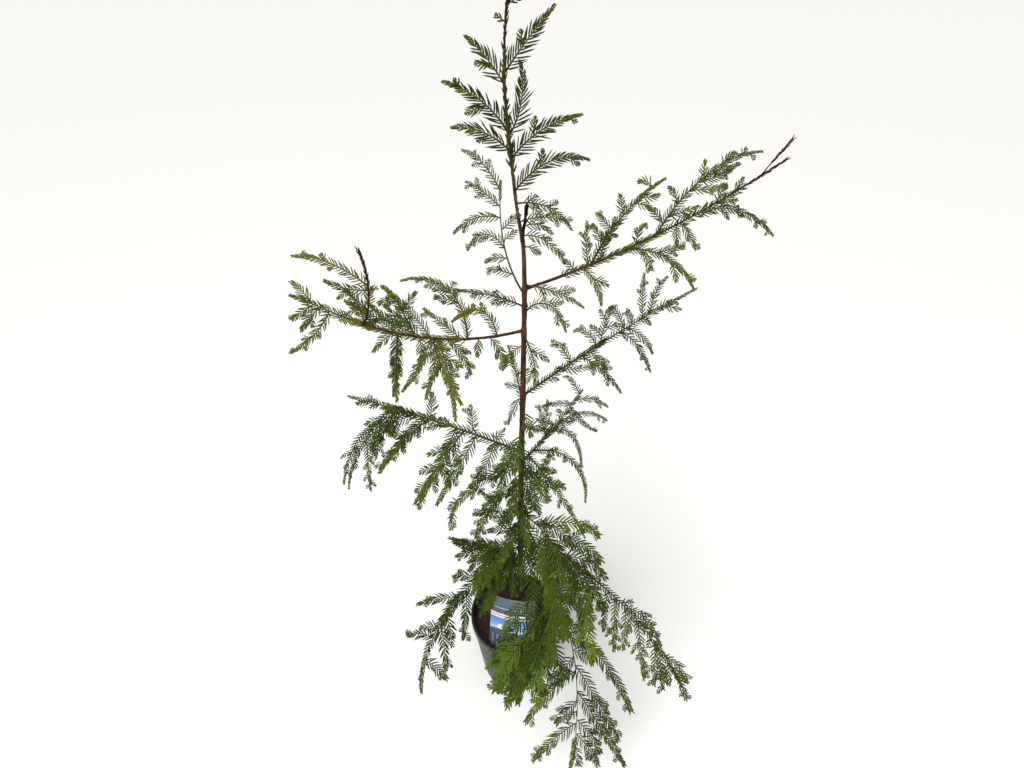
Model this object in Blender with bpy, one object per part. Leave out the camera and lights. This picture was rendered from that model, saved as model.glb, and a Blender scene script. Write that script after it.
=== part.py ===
"""Young coast redwood in a one-gallon nursery pot, +Z up, metres.

The origin is the centre of the pot's flat underside. Headings are degrees anticlockwise
from +X seen from above, and rises are degrees above the horizontal.
"""

import math
import random

import bmesh
import bpy
from mathutils import Matrix, Vector

GAP = 0.0003
UP = Vector((0.0, 0.0, 1.0))

# Nursery pot
POT_HEIGHT = 0.178
POT_FOOT_RADIUS = 0.0635
POT_WALL_RADIUS = 0.0805
POT_LIP_RADIUS = 0.083
POT_LIP_HEIGHT = 0.014
POT_WALL = 0.002
POT_FLOOR = 0.0025
POT_SIDES = 28
DRAIN_COUNT = 8
DRAIN_WIDTH = 0.013
DRAIN_HEIGHT = 0.009

# Potting soil
SOIL_TOP = 0.161
SOIL_DOME = 0.004
SOIL_RINGS = 3

# Picture tag, a bent card pushed into the soil just inside the front of the rim
TAG_WIDTH = 0.080
TAG_HEIGHT = 0.122
TAG_BURIED = 0.018
TAG_THICKNESS = 0.0010
TAG_BEND_RADIUS = 0.095
TAG_HEADING = 260.0
TAG_FOOT_RADIUS = 0.064
TAG_LEAN = 22.0
TAG_COLUMNS = 8

# Trunk: height above the soil, shift in X and in Y, and radius
TRUNK_STATIONS = (
    (0.000, 0.0072, 0.000, 0.0070),
    (0.012, 0.0072, 0.000, 0.0052),
    (0.045, 0.0072, 0.000, 0.0044),
    (0.200, 0.0080, 0.001, 0.0040),
    (0.400, 0.0075, 0.001, 0.0035),
    (0.600, 0.0082, 0.000, 0.0030),
    (0.740, 0.0068, 0.000, 0.0025),
    (0.790, -0.0010, 0.001, 0.0020),
    (0.850, -0.0080, 0.002, 0.0018),
    (0.905, -0.0130, 0.001, 0.0016),
    (0.935, -0.0125, 0.000, 0.0014),
)
TRUNK_SIDES = 8
TRUNK_STEPS = 44

# Dead stub of the first leader, beside the fork
STUB_AT = 0.918
STUB_HEADING = 8.0
STUB_RISE = 83.0
STUB_LENGTH = 0.039
STUB_RADII = (0.0021, 0.0019, 0.0018, 0.0018, 0.0024, 0.0016)

# Boughs: height of the root, heading, rise at the root and at the far tip, swing of the
# heading on the way, reach of the whole limb with its shoot, and how much of that is bough
BOUGHS = {
    "right_upper": dict(at=0.859, heading=12, rise=14, rise_tip=33, swing=0, reach=0.321, limb=0.165),
    "left_upper": dict(at=0.804, heading=190, rise=-11, rise_tip=48, swing=0, reach=0.282, limb=0.196),
    "right_middle": dict(at=0.703, heading=30, rise=21, rise_tip=10, swing=0, reach=0.299, limb=0.135),
    "right_lower": dict(at=0.578, heading=55, rise=-4, rise_tip=16, swing=0, reach=0.180, limb=0.068),
    "left_middle": dict(at=0.600, heading=165, rise=15, rise_tip=5, swing=0, reach=0.268, limb=0.205),
    "low_right": dict(at=0.395, heading=-18, rise=-5, rise_tip=-28, swing=-46, reach=0.349, limb=0.130),
    "low_front": dict(at=0.424, heading=-36, rise=-42, rise_tip=-58, swing=-74, reach=0.415, limb=0.130),
}
BOUGH_RADII = (0.0026, 0.0015)
BOUGH_SIDES = 6
BOUGH_STEP = 0.022

# Masses of foliage. Each has one stem: what carries it and the height on the trunk or the
# distance along the bough, its heading, rise and rise at the tip, swing and length, then
# the number of its side twigs, the longest of them, the side of the first one (doubled
# where all leave on that side), and the roll of the frond about its stem.
COLUMNS = ("on", "at", "heading", "rise", "rise_tip", "swing", "length", "twigs", "longest", "side", "roll")
MASSES = {
    "leader_tip": ("trunk", 1.096, 0, 88, 72, 0, 0.088, 4, 0.036, 1, 80),
    "leader_left_1": ("trunk", 1.065, 185, 60, 38, 0, 0.051, 1, 0.030, -1, 70),
    "leader_left_2": ("trunk", 1.024, 195, 60, 12, 0, 0.084, 1, 0.040, -1, 70),
    "leader_left_3": ("trunk", 1.007, 165, 44, -10, 0, 0.065, 1, 0.034, -1, 70),
    "leader_right_1": ("trunk", 1.074, 15, 52, 44, 0, 0.068, 1, 0.030, 1, 70),
    "leader_right_2": ("trunk", 1.021, 45, 42, 112, 0, 0.068, 0, 0.030, 1, 60),
    "leader_right_3": ("trunk", 1.000, -20, 54, 14, 0, 0.083, 1, 0.034, 1, 70),
    "leader_right_4": ("trunk", 0.976, 20, 52, -8, 0, 0.094, 1, 0.040, 1, 60),
    "upright_shoot": ("trunk", 0.852, 140, 42, 112, -34, 0.150, 5, 0.050, 1, -30),
    "right_small": ("trunk", 0.968, 5, 10, -48, 0, 0.068, 2, 0.040, -1, 50),
    "right_near": ("trunk", 0.864, -19, 5, -30, 0, 0.072, 2, 0.040, -1, 25),
    "right_arch": ("trunk", 0.826, -23, 68, -55, -48, 0.083, 0, 0.030, 1, 40),
    "front_hanging": ("trunk", 0.797, -60, -28, -110, 0, 0.078, 2, 0.040, 1, 0),
    "left_inner": ("trunk", 0.836, 190, 32, 8, 0, 0.087, 3, 0.040, -1, 45),
    "left_drooping": ("trunk", 0.575, 210, 16, -83, -18, 0.154, 5, 0.062, -1, 0),
    "left_short": ("trunk", 0.374, 165, -21, 6, 0, 0.129, 4, 0.045, 1, 20),
    "left_low": ("trunk", 0.352, 207, 12, -88, 38, 0.324, 7, 0.070, 1, 0),
    "front_right": ("trunk", 0.464, -50, 25, -76, -20, 0.214, 6, 0.085, 1, 0),
    "front_middle": ("trunk", 0.446, -60, 14, -83, -41, 0.247, 6, 0.080, -1, 0),
    "front_low": ("trunk", 0.410, -72, 7, -64, -44, 0.262, 6, 0.075, 1, 0),
    "back_left": ("trunk", 0.380, 118, 12, -30, 0, 0.170, 4, 0.062, 1, 0),
    "back_right": ("trunk", 0.440, 72, 10, -30, 0, 0.200, 5, 0.062, -1, 0),
    "back_upper": ("trunk", 0.690, 100, 22, -8, 0, 0.120, 3, 0.036, 1, 0),
    "right_upper_near": ("right_upper", 0.070, -50, -9, -84, 0, 0.051, 1, 0.030, 1, 0),
    "right_upper_back": ("right_upper", 0.080, 40, 55, 9, 0, 0.140, 4, 0.050, 1, 30),
    "right_upper_low": ("right_upper", 0.119, -25, 23, -62, 0, 0.098, 3, 0.050, -1, 30),
    "right_upper_long": ("right_upper", 0.159, 30, 59, -8, 0, 0.171, 5, 0.045, 1, 50),
    "right_upper_tip": ("right_upper", 0.165, 0, 0, 0, 0, 0.156, 3, 0.080, -2, 35),
    "left_upper_back": ("left_upper", 0.068, 95, 48, -21, 78, 0.145, 4, 0.042, -1, 0),
    "left_upper_hanging": ("left_upper", 0.107, 272, 18, -59, 48, 0.103, 5, 0.055, 1, 0),
    "left_upper_middle": ("left_upper", 0.130, 123, 44, 0, 2, 0.086, 3, 0.048, 1, -20),
    "left_upper_drop": ("left_upper", 0.149, 230, -75, -84, 0, 0.092, 4, 0.042, 1, 0),
    "left_upper_rise": ("left_upper", 0.188, 150, 121, 72, 0, 0.104, 3, 0.080, 2, -60),
    "left_upper_tip": ("left_upper", 0.196, 0, 0, 0, 0, 0.086, 3, 0.085, 1, -40),
    "right_middle_low": ("right_middle", 0.096, -30, -14, -51, 0, 0.074, 3, 0.042, -1, 0),
    "right_middle_back": ("right_middle", 0.128, 60, 90, 14, 0, 0.058, 3, 0.045, 1, 30),
    "right_middle_tip": ("right_middle", 0.135, 0, 0, 0, 0, 0.164, 5, 0.075, -1, 0),
    "right_lower_arch": ("right_lower", 0.062, -30, 71, -33, -62, 0.130, 3, 0.040, 1, 0),
    "right_lower_bow": ("right_lower", 0.030, -20, 31, -11, -82, 0.152, 3, 0.045, 1, 0),
    "right_lower_down": ("right_lower", 0.018, -40, -28, -57, 0, 0.150, 5, 0.070, 1, 0),
    "right_lower_tip": ("right_lower", 0.068, 0, 0, 0, 0, 0.112, 5, 0.050, 1, 0),
    "left_middle_frond": ("left_middle", 0.088, 225, -35, -42, 0, 0.125, 5, 0.055, 1, 0),
    "left_middle_drop": ("left_middle", 0.140, 220, -8, -50, 0, 0.105, 4, 0.044, 1, 0),
    "left_middle_inner": ("left_middle", 0.165, 222, 58, -112, 0, 0.116, 4, 0.048, -1, 0),
    "left_middle_outer": ("left_middle", 0.199, 212, -31, -79, 0, 0.155, 5, 0.055, 1, 0),
    "left_middle_tip": ("left_middle", 0.205, 0, 0, 0, 0, 0.063, 3, 0.042, 1, 0),
    "low_right_tip": ("low_right", 0.130, 0, 0, 0, 0, 0.219, 6, 0.085, -1, 0),
    "low_front_tip": ("low_front", 0.130, 0, 0, 0, 0, 0.285, 8, 0.098, 1, 0),
}
STEM_RADII = (0.0018, 0.0014)
STEM_SIDES = 4
STEM_STEP = 0.025
MOST_BEND = 16.0
STEM_SHARE = 0.72
TWIG_FIRST = 0.12
TWIG_LAST = 0.68
TWIG_ANGLE = 56.0
TWIG_ANGLE_SPREAD = 9.0
TWIG_FORWARD = 0.35
TWIG_SAG = 0.22
TWIG_SHORTEST = 0.45
TWIG_WIDEST = 0.4
TWIG_UNEVEN = (0.88, 1.06)
TWIG_ROLL = 14.0

# Toothed blades, each standing for one spray of needles
NEEDLE_REACH = 0.0135
TOOTH_PITCH = 0.022
TOOTH_SWEEP = 1.30
TOOTH_ROOT = 0.0016
BLADE_NECK = 0.0011
BLADE_TAPER = 0.45
BLADE_END = 0.8
BLADE_THICKNESS = 0.0012
SPRAY_SLENDERNESS = 0.36
SPRAY_SINK = 0.004
SHRINKS = (1.0, 0.8, 0.62)
SAMPLE_STEP = 0.0045
ROOT_SHARE = 0.12
CLEARANCE = 0.0062
LIMB_CLEARANCE = 0.0055
TRUNK_CLEARANCE = 0.0075
STEM_CLEARANCE = 0.0045
FLOOR_CLEARANCE = 0.012
POT_CLEARANCE = 0.006

MATERIALS = {
    "pot_plastic": ((0.020, 0.022, 0.026), 0.42),
    "potting_soil": ((0.035, 0.020, 0.012), 0.95),
    "tag_card": ((0.10, 0.17, 0.26), 0.35),
    "bark": ((0.105, 0.050, 0.028), 0.85),
    "dead_wood": ((0.016, 0.011, 0.009), 0.90),
    "needles": ((0.070, 0.130, 0.025), 0.55),
}


def make_material(name):
    color, roughness = MATERIALS[name]
    material = bpy.data.materials.new(name)
    material.use_nodes = True
    shader = material.node_tree.nodes["Principled BSDF"]
    shader.inputs["Base Color"].default_value = (*color, 1.0)
    shader.inputs["Roughness"].default_value = roughness
    return material


def make_object(name, bm, material):
    bmesh.ops.recalc_face_normals(bm, faces=bm.faces)
    mesh = bpy.data.meshes.new(name)
    bm.to_mesh(mesh)
    bm.free()
    mesh.materials.append(bpy.data.materials[material])
    piece = bpy.data.objects.new(name, mesh)
    bpy.context.scene.collection.objects.link(piece)
    return piece


def shade_round(piece, angle=40.0):
    piece.data.shade_smooth()
    piece.data.set_sharp_from_angle(angle=math.radians(angle))


def apply_boolean(piece, operation, others):
    """Joins or cuts a piece with the other objects in one Boolean, which then go."""
    tools = bpy.data.collections.new("tools")
    bpy.context.scene.collection.children.link(tools)
    for other in others:
        bpy.context.scene.collection.objects.unlink(other)
        tools.objects.link(other)
    cut = piece.modifiers.new("cut", "BOOLEAN")
    cut.operation = operation
    cut.operand_type = "COLLECTION"
    cut.collection = tools
    cut.solver = "EXACT"
    shape = piece.evaluated_get(bpy.context.evaluated_depsgraph_get())
    mesh = bpy.data.meshes.new_from_object(shape)
    piece.modifiers.clear()
    piece.data = mesh
    for other in others:
        bpy.data.objects.remove(other)
    bpy.data.collections.remove(tools)


# Curves: a list of (point, direction, side, normal), evenly spaced along a stem


def heading_vector(heading, rise):
    a, e = math.radians(heading), math.radians(rise)
    return Vector((math.cos(e) * math.cos(a), math.cos(e) * math.sin(a), math.sin(e)))


def limb_curve(start, heading, rise, rise_tip, swing, reach, steps=24):
    """A limb whose rise and heading change evenly from its root to its tip."""
    curve, point = [], start.copy()
    for i in range(steps + 1):
        share = i / steps
        turn = heading + swing * share
        direction = heading_vector(turn, rise + (rise_tip - rise) * share)
        side = heading_vector(turn + 90.0, 0.0)
        curve.append((point.copy(), direction, side, direction.cross(side)))
        middle = share + 0.5 / steps
        step = heading_vector(heading + swing * middle, rise + (rise_tip - rise) * middle)
        point += step * (reach / steps)
    return curve


def twig_curve(start, direction, forward, normal, length, steps=8):
    """A side twig that bends towards its stem's direction and sags a little."""
    curve, point = [], start.copy()
    for i in range(steps + 1):
        share = i / steps
        ahead = (direction + forward * TWIG_FORWARD * share - UP * TWIG_SAG * share).normalized()
        side = normal.cross(ahead).normalized()
        curve.append((point.copy(), ahead, side, ahead.cross(side)))
        point += ahead * (length / steps)
    return curve


def curve_at(curve, share):
    """The frame at a share of the curve's length, from 0 to 1."""
    spot = min(max(share, 0.0), 1.0) * (len(curve) - 1)
    i = min(int(spot), len(curve) - 2)
    blend = spot - i
    return tuple(a.lerp(b, blend) for a, b in zip(curve[i], curve[i + 1]))


def part_of_curve(curve, first, last, steps):
    return [curve_at(curve, first + (last - first) * i / steps) for i in range(steps + 1)]


def rolled(curve, degrees):
    """The same curve with its side and normal turned about its direction."""
    c, s = math.cos(math.radians(degrees)), math.sin(math.radians(degrees))
    return [(point, ahead, side * c + up * s, up * c - side * s) for point, ahead, side, up in curve]


def steps_along(curve, length, step):
    """How many straight lengths follow a curve closely enough."""
    bend = sum(math.degrees(a[1].angle(b[1])) for a, b in zip(curve, curve[1:]))
    return max(2, round(length / step), math.ceil(bend / MOST_BEND))


def trunk_frame(height):
    """The trunk's centre and radius at a height above the floor, smoothly between stations."""
    level = height - SOIL_TOP
    stations = TRUNK_STATIONS
    i = max(k for k in range(len(stations) - 1) if k == 0 or stations[k][0] <= level)
    low, high = stations[i], stations[i + 1]
    before, after = stations[max(i - 1, 0)], stations[min(i + 2, len(stations) - 1)]
    span = high[0] - low[0]
    t = min(max((level - low[0]) / span, 0.0), 1.0)
    values = []
    for k in (1, 2, 3):
        slope_low = (high[k] - before[k]) / (high[0] - before[0]) * span if i else high[k] - low[k]
        slope_high = (after[k] - low[k]) / (after[0] - low[0]) * span
        if k == 3:
            values.append(low[k] + (high[k] - low[k]) * t)
            continue
        values.append(
            low[k] * (2 * t**3 - 3 * t**2 + 1)
            + slope_low * (t**3 - 2 * t**2 + t)
            + high[k] * (3 * t**2 - 2 * t**3)
            + slope_high * (t**3 - t**2)
        )
    return Vector((values[0], values[1], height)), values[2]


def bough_curve(name):
    shape = dict(BOUGHS[name])
    start, _ = trunk_frame(shape.pop("at"))
    shape.pop("limb")
    return limb_curve(start, **shape)


# Solids that follow a curve


def mitre_reach(direction, offset, carrier_direction, carrier_radius):
    """How far along a stem one of its edges is cut to lie along the limb that carries it."""
    outward = (direction - carrier_direction * direction.dot(carrier_direction)).normalized()
    return (carrier_radius + GAP - offset.dot(outward)) / direction.dot(outward)


def tube(curve, radii, sides, carrier=None):
    """A tapered limb along a curve, its root cut to lie along what carries it."""
    bm = bmesh.new()
    rings = []
    count = len(curve)
    cut_length = 0.0
    for i, (point, direction, side, normal) in enumerate(curve):
        if i and (point - curve[0][0]).length < cut_length:
            continue
        share = i / (count - 1) * (len(radii) - 1)
        k = min(int(share), len(radii) - 2)
        radius = radii[k] + (radii[k + 1] - radii[k]) * (share - k)
        ring = []
        for j in range(sides):
            turn = 2.0 * math.pi * (j + 0.5) / sides
            offset = (side * math.cos(turn) + normal * math.sin(turn)) * radius
            if i == 0 and carrier:
                reach = mitre_reach(direction, offset, *carrier)
                cut_length = max(cut_length, reach + GAP)
                offset = offset + direction * reach
            ring.append(bm.verts.new(point + offset))
        rings.append(ring)
    for low, high in zip(rings, rings[1:]):
        for j in range(sides):
            bm.faces.new((low[j - 1], low[j], high[j], high[j - 1]))
    bm.faces.new(rings[0])
    bm.faces.new(rings[-1])
    return bm


def blade(curve, length, reach):
    """A flat toothed blade bent along a curve, its needles alternate on the two sides."""

    def width(place):
        return reach * (1.0 - BLADE_TAPER * (place / teeth) ** 2)

    teeth = max(2, round(length / TOOTH_PITCH))
    pitch = length / (teeth + BLADE_END)
    half = BLADE_THICKNESS / 2.0
    outline = [(0.0, BLADE_NECK)]
    for i in range(teeth):
        outline += [((i + TOOTH_SWEEP) * pitch, width(i)), ((i + 1) * pitch, TOOTH_ROOT)]
    outline.append((length, 0.0))
    for i in reversed(range(teeth - 1)):
        outline += [((i + 1.5) * pitch, -TOOTH_ROOT), ((i + 0.5 + TOOTH_SWEEP) * pitch, -width(i + 0.5))]
    outline += [(0.5 * pitch, -TOOTH_ROOT), (0.0, -BLADE_NECK)]
    bm = bmesh.new()
    bm.faces.new([bm.verts.new((x, y, -half)) for x, y in outline])
    lifted = bmesh.ops.extrude_face_region(bm, geom=bm.faces[:])["geom"]
    for item in lifted:
        if isinstance(item, bmesh.types.BMVert):
            item.co.z = half
    bmesh.ops.triangulate(bm, faces=bm.faces)
    for vert in bm.verts:
        point, _, side, normal = curve_at(curve, vert.co.x / length)
        vert.co = point + side * vert.co.y + normal * vert.co.z
    return bm


def blade_samples(curve, length, reach):
    """Points spread over a blade, close enough together that no other blade slips through."""
    rows = max(2, math.ceil(length / SAMPLE_STEP))
    columns = math.ceil(reach / SAMPLE_STEP)
    spots = []
    for i in range(rows + 1):
        point, _, side, _ = curve_at(curve, i / rows)
        for j in range(-columns, columns + 1):
            spots.append(point + side * (reach * j / columns))
    return spots


# Pot, soil and tag


def spin_profile(name, profile, sides, material):
    bm = bmesh.new()
    verts = [bm.verts.new((radius, 0.0, height)) for radius, height in profile]
    edges = [bm.edges.new(pair) for pair in zip(verts, verts[1:])]
    bmesh.ops.spin(
        bm, geom=verts + edges, axis=UP, cent=(0, 0, 0), angle=2 * math.pi, steps=sides, use_merge=True
    )
    bmesh.ops.remove_doubles(bm, verts=bm.verts, dist=1e-6)
    return make_object(name, bm, material)


def wall_radius(height):
    """Outer radius of the pot's plain wall at a height."""
    top = POT_HEIGHT - POT_LIP_HEIGHT
    return POT_FOOT_RADIUS + (POT_WALL_RADIUS - POT_FOOT_RADIUS) * height / top


def build_pot():
    under_lip = POT_HEIGHT - POT_LIP_HEIGHT
    profile = [
        (0.0, 0.0),
        (POT_FOOT_RADIUS, 0.0),
        (POT_WALL_RADIUS, under_lip),
        (POT_LIP_RADIUS, under_lip + 0.001),
        (POT_LIP_RADIUS, POT_HEIGHT - 0.001),
        (POT_LIP_RADIUS - 0.0008, POT_HEIGHT),
        (POT_LIP_RADIUS - POT_WALL, POT_HEIGHT),
        (POT_LIP_RADIUS - POT_WALL - 0.0008, POT_HEIGHT - 0.001),
        (POT_WALL_RADIUS - POT_WALL, under_lip),
        (wall_radius(POT_FLOOR) - POT_WALL, POT_FLOOR),
        (0.0, POT_FLOOR),
    ]
    pot = spin_profile("pot", profile, POT_SIDES, "pot_plastic")
    drains = []
    for i in range(DRAIN_COUNT):
        bm = bmesh.new()
        bmesh.ops.create_cube(bm, size=1.0)
        size = (POT_WALL * 4.0, DRAIN_WIDTH, DRAIN_HEIGHT * 2.0)
        bmesh.ops.scale(bm, vec=size, verts=bm.verts)
        turn = 2.0 * math.pi * (i + 0.5) / DRAIN_COUNT
        place = Matrix.Rotation(turn, 4, "Z") @ Matrix.Translation((POT_FOOT_RADIUS, 0.0, 0.0))
        bmesh.ops.transform(bm, matrix=place, verts=bm.verts)
        drains.append(make_object("drain", bm, "pot_plastic"))
    apply_boolean(pot, "DIFFERENCE", drains)
    shade_round(pot, 30.0)


def build_soil():
    inner = POT_WALL + GAP
    bottom = POT_FLOOR + GAP
    rim = wall_radius(SOIL_TOP - SOIL_DOME) - inner
    profile = [(0.0, bottom), (wall_radius(bottom) - inner, bottom)]
    profile.append((rim, SOIL_TOP - SOIL_DOME))
    for i in range(1, SOIL_RINGS + 1):
        share = 1.0 - i / SOIL_RINGS
        profile.append((rim * share, SOIL_TOP - SOIL_DOME * share**2))
    soil = spin_profile("potting_soil", profile, POT_SIDES, "potting_soil")
    slot = build_tag_card("slot", GAP, TAG_BURIED + GAP)
    apply_boolean(soil, "DIFFERENCE", [slot])
    shade_round(soil)


def tag_point(across, up, lift):
    """A point of the card: across its width, up its face, and out of its face."""
    turn = across / TAG_BEND_RADIUS
    radius = TAG_BEND_RADIUS + lift
    x = radius * math.sin(turn)
    y = radius * math.cos(turn) - TAG_BEND_RADIUS
    spot = Vector((x, -y, up))
    spot.rotate(Matrix.Rotation(math.radians(-TAG_LEAN), 3, "X"))
    spot.y -= TAG_FOOT_RADIUS
    spot.z += SOIL_TOP
    spot.rotate(Matrix.Rotation(math.radians(TAG_HEADING - 270.0), 3, "Z"))
    return spot


def build_tag_card(name, extra, buried):
    bm = bmesh.new()
    half = TAG_THICKNESS / 2.0 + extra
    wide = TAG_WIDTH / 2.0 + extra
    columns = []
    for i in range(TAG_COLUMNS + 1):
        across = -wide + 2.0 * wide * i / TAG_COLUMNS
        top = TAG_HEIGHT - TAG_BURIED
        corners = ((-buried, -half), (top, -half), (top, half), (-buried, half))
        columns.append([bm.verts.new(tag_point(across, up, lift)) for up, lift in corners])
    for left, right in zip(columns, columns[1:]):
        for j in range(4):
            bm.faces.new((left[j - 1], left[j], right[j], right[j - 1]))
    bm.faces.new(columns[0])
    bm.faces.new(columns[-1])
    return make_object(name, bm, "tag_card")


# Trunk, stub and boughs


def build_trunk():
    top = SOIL_TOP + TRUNK_STATIONS[-1][0]
    foot = SOIL_TOP + GAP
    levels = sorted({0.0, 0.012, 0.025} | {k / TRUNK_STEPS for k in range(TRUNK_STEPS + 1)})
    bm = bmesh.new()
    rings = []
    for level in levels:
        centre, radius = trunk_frame(foot + (top - foot) * level)
        ring = []
        for j in range(TRUNK_SIDES):
            turn = 2.0 * math.pi * j / TRUNK_SIDES
            ring.append(bm.verts.new(centre + Vector((math.cos(turn), math.sin(turn), 0.0)) * radius))
        rings.append(ring)
    for low, high in zip(rings, rings[1:]):
        for j in range(TRUNK_SIDES):
            bm.faces.new((low[j - 1], low[j], high[j], high[j - 1]))
    bm.faces.new(rings[0])
    bm.faces.new(rings[-1])
    shade_round(make_object("trunk", bm, "bark"))


def trunk_carrier(height):
    """Direction and radius of the trunk where something leaves it."""
    below, _ = trunk_frame(height - 0.005)
    above, radius = trunk_frame(height)
    return (above - below).normalized(), radius


def build_stub():
    start, _ = trunk_frame(STUB_AT)
    curve = limb_curve(start, STUB_HEADING, STUB_RISE, STUB_RISE, 0.0, STUB_LENGTH, 8)
    ahead, radius = trunk_carrier(STUB_AT)
    bm = tube(curve, STUB_RADII, BOUGH_SIDES, (ahead, radius + GAP))
    shade_round(make_object("dead_leader_stub", bm, "dead_wood"))


def bough_radius(name, along):
    """Radius of a bough at a distance from the trunk's axis."""
    share = min(along / BOUGHS[name]["limb"], 1.0)
    return BOUGH_RADII[0] + (BOUGH_RADII[1] - BOUGH_RADII[0]) * share


def build_bough(name):
    bough = BOUGHS[name]
    whole = bough_curve(name)
    curve = part_of_curve(whole, 0.0, bough["limb"] / bough["reach"], 24)
    curve = part_of_curve(curve, 0.0, 1.0, steps_along(curve, bough["limb"], BOUGH_STEP))
    bm = tube(curve, BOUGH_RADII, BOUGH_SIDES, trunk_carrier(bough["at"]))
    shade_round(make_object("bough_" + name, bm, "bark"))


# Masses of foliage


def stem_of(name):
    """The whole curve of a mass's stem and what it is carried by."""
    mass = dict(zip(COLUMNS, MASSES[name]))
    if mass["on"] == "trunk":
        start, _ = trunk_frame(mass["at"])
        carrier = trunk_carrier(mass["at"])
        if mass["at"] >= SOIL_TOP + TRUNK_STATIONS[-1][0]:
            start += UP * GAP
            carrier = None
    else:
        whole = bough_curve(mass["on"])
        bough = BOUGHS[mass["on"]]
        start, direction, _, _ = curve_at(whole, mass["at"] / bough["reach"])
        if mass["at"] >= bough["limb"]:
            count = max(6, round(mass["length"] / 0.01))
            first = (bough["limb"] + GAP) / bough["reach"]
            return mass, rolled(part_of_curve(whole, first, 1.0, count), mass["roll"]), None
        carrier = (direction, bough_radius(mass["on"], mass["at"]))
    curve = limb_curve(
        start, mass["heading"], mass["rise"], mass["rise_tip"], mass["swing"], mass["length"]
    )
    return mass, rolled(curve, mass["roll"]), carrier


def side_twigs(mass, stem, rng):
    """Side twigs by the seeded rule: alternate, longest near the middle, in the frond's plane."""
    side = 1 if mass["side"] > 0 else -1
    for i in range(mass["twigs"]):
        spread = (i + 0.5) / mass["twigs"]
        share = TWIG_FIRST + (TWIG_LAST - TWIG_FIRST) * spread
        point, direction, across, normal = curve_at(stem, share)
        angle = math.radians(TWIG_ANGLE + rng.uniform(-TWIG_ANGLE_SPREAD, TWIG_ANGLE_SPREAD))
        away = abs(spread - TWIG_WIDEST) / (1.0 - TWIG_WIDEST)
        length = mass["longest"] * (1.0 - (1.0 - TWIG_SHORTEST) * away) * rng.uniform(*TWIG_UNEVEN)
        roll = math.radians(rng.uniform(-TWIG_ROLL, TWIG_ROLL))
        leave = direction * math.cos(angle) + across * (side * math.sin(angle))
        tilted = normal * math.cos(roll) + across * math.sin(roll)
        yield point, leave, direction, tilted, length
        if abs(mass["side"]) == 1:
            side = -side


class Crowd:
    """Sample points of everything placed so far, so that masses keep clear of each other."""

    def __init__(self):
        self.spots = []

    def add(self, owner, spots, margin):
        low = Vector([min(s[k] for s in spots) for k in range(3)])
        high = Vector([max(s[k] for s in spots) for k in range(3)])
        self.spots.append((owner, spots, margin, low, high))

    def is_clear(self, owner, spots):
        low = Vector([min(s[k] for s in spots) for k in range(3)])
        high = Vector([max(s[k] for s in spots) for k in range(3)])
        for other, others, margin, other_low, other_high in self.spots:
            if other == owner:
                continue
            if any(low[k] - margin > other_high[k] or high[k] + margin < other_low[k] for k in range(3)):
                continue
            near = [s for s in others if all(low[k] - margin < s[k] < high[k] + margin for k in range(3))]
            for spot in spots:
                for s in near:
                    if (spot - s).length_squared < margin * margin:
                        return False
        return True


def clear_of_pot(spots):
    for spot in spots:
        beside = math.hypot(spot.x, spot.y) > POT_LIP_RADIUS + POT_CLEARANCE
        if spot.z < FLOOR_CLEARANCE or not (beside or spot.z > POT_HEIGHT + POT_CLEARANCE):
            return False
    return True


def line_samples(curve, step=0.003):
    length = sum((b[0] - a[0]).length for a, b in zip(curve, curve[1:]))
    count = max(2, math.ceil(length / step))
    return [curve_at(curve, i / count)[0] for i in range(count + 1)]


def fill_crowd(crowd):
    top = SOIL_TOP + TRUNK_STATIONS[-1][0]
    count = 320
    levels = [SOIL_TOP + (top - SOIL_TOP) * i / count for i in range(count + 1)]
    crowd.add("trunk", [trunk_frame(level)[0] for level in levels], TRUNK_CLEARANCE)
    for name, bough in BOUGHS.items():
        limb = part_of_curve(bough_curve(name), 0.0, bough["limb"] / bough["reach"], 20)
        crowd.add("bough_" + name, line_samples(limb), LIMB_CLEARANCE)
    tag = []
    for i in range(17):
        for j in range(25):
            across = TAG_WIDTH * (i / 16.0 - 0.5)
            tag.append(tag_point(across, (TAG_HEIGHT - TAG_BURIED) * j / 24.0, 0.0))
    crowd.add("tag", tag, CLEARANCE)
    for name in MASSES:
        _, stem, _ = stem_of(name)
        crowd.add(name, line_samples(stem), STEM_CLEARANCE)


def fits(crowd, name, curve, length, reach):
    """Whether a blade keeps its own space, leaving aside its root where it joins the stem."""
    spots = blade_samples(part_of_curve(curve, ROOT_SHARE, 1.0, 8), length * (1.0 - ROOT_SHARE), reach)
    return clear_of_pot(spots) and crowd.is_clear(name, spots)


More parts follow.
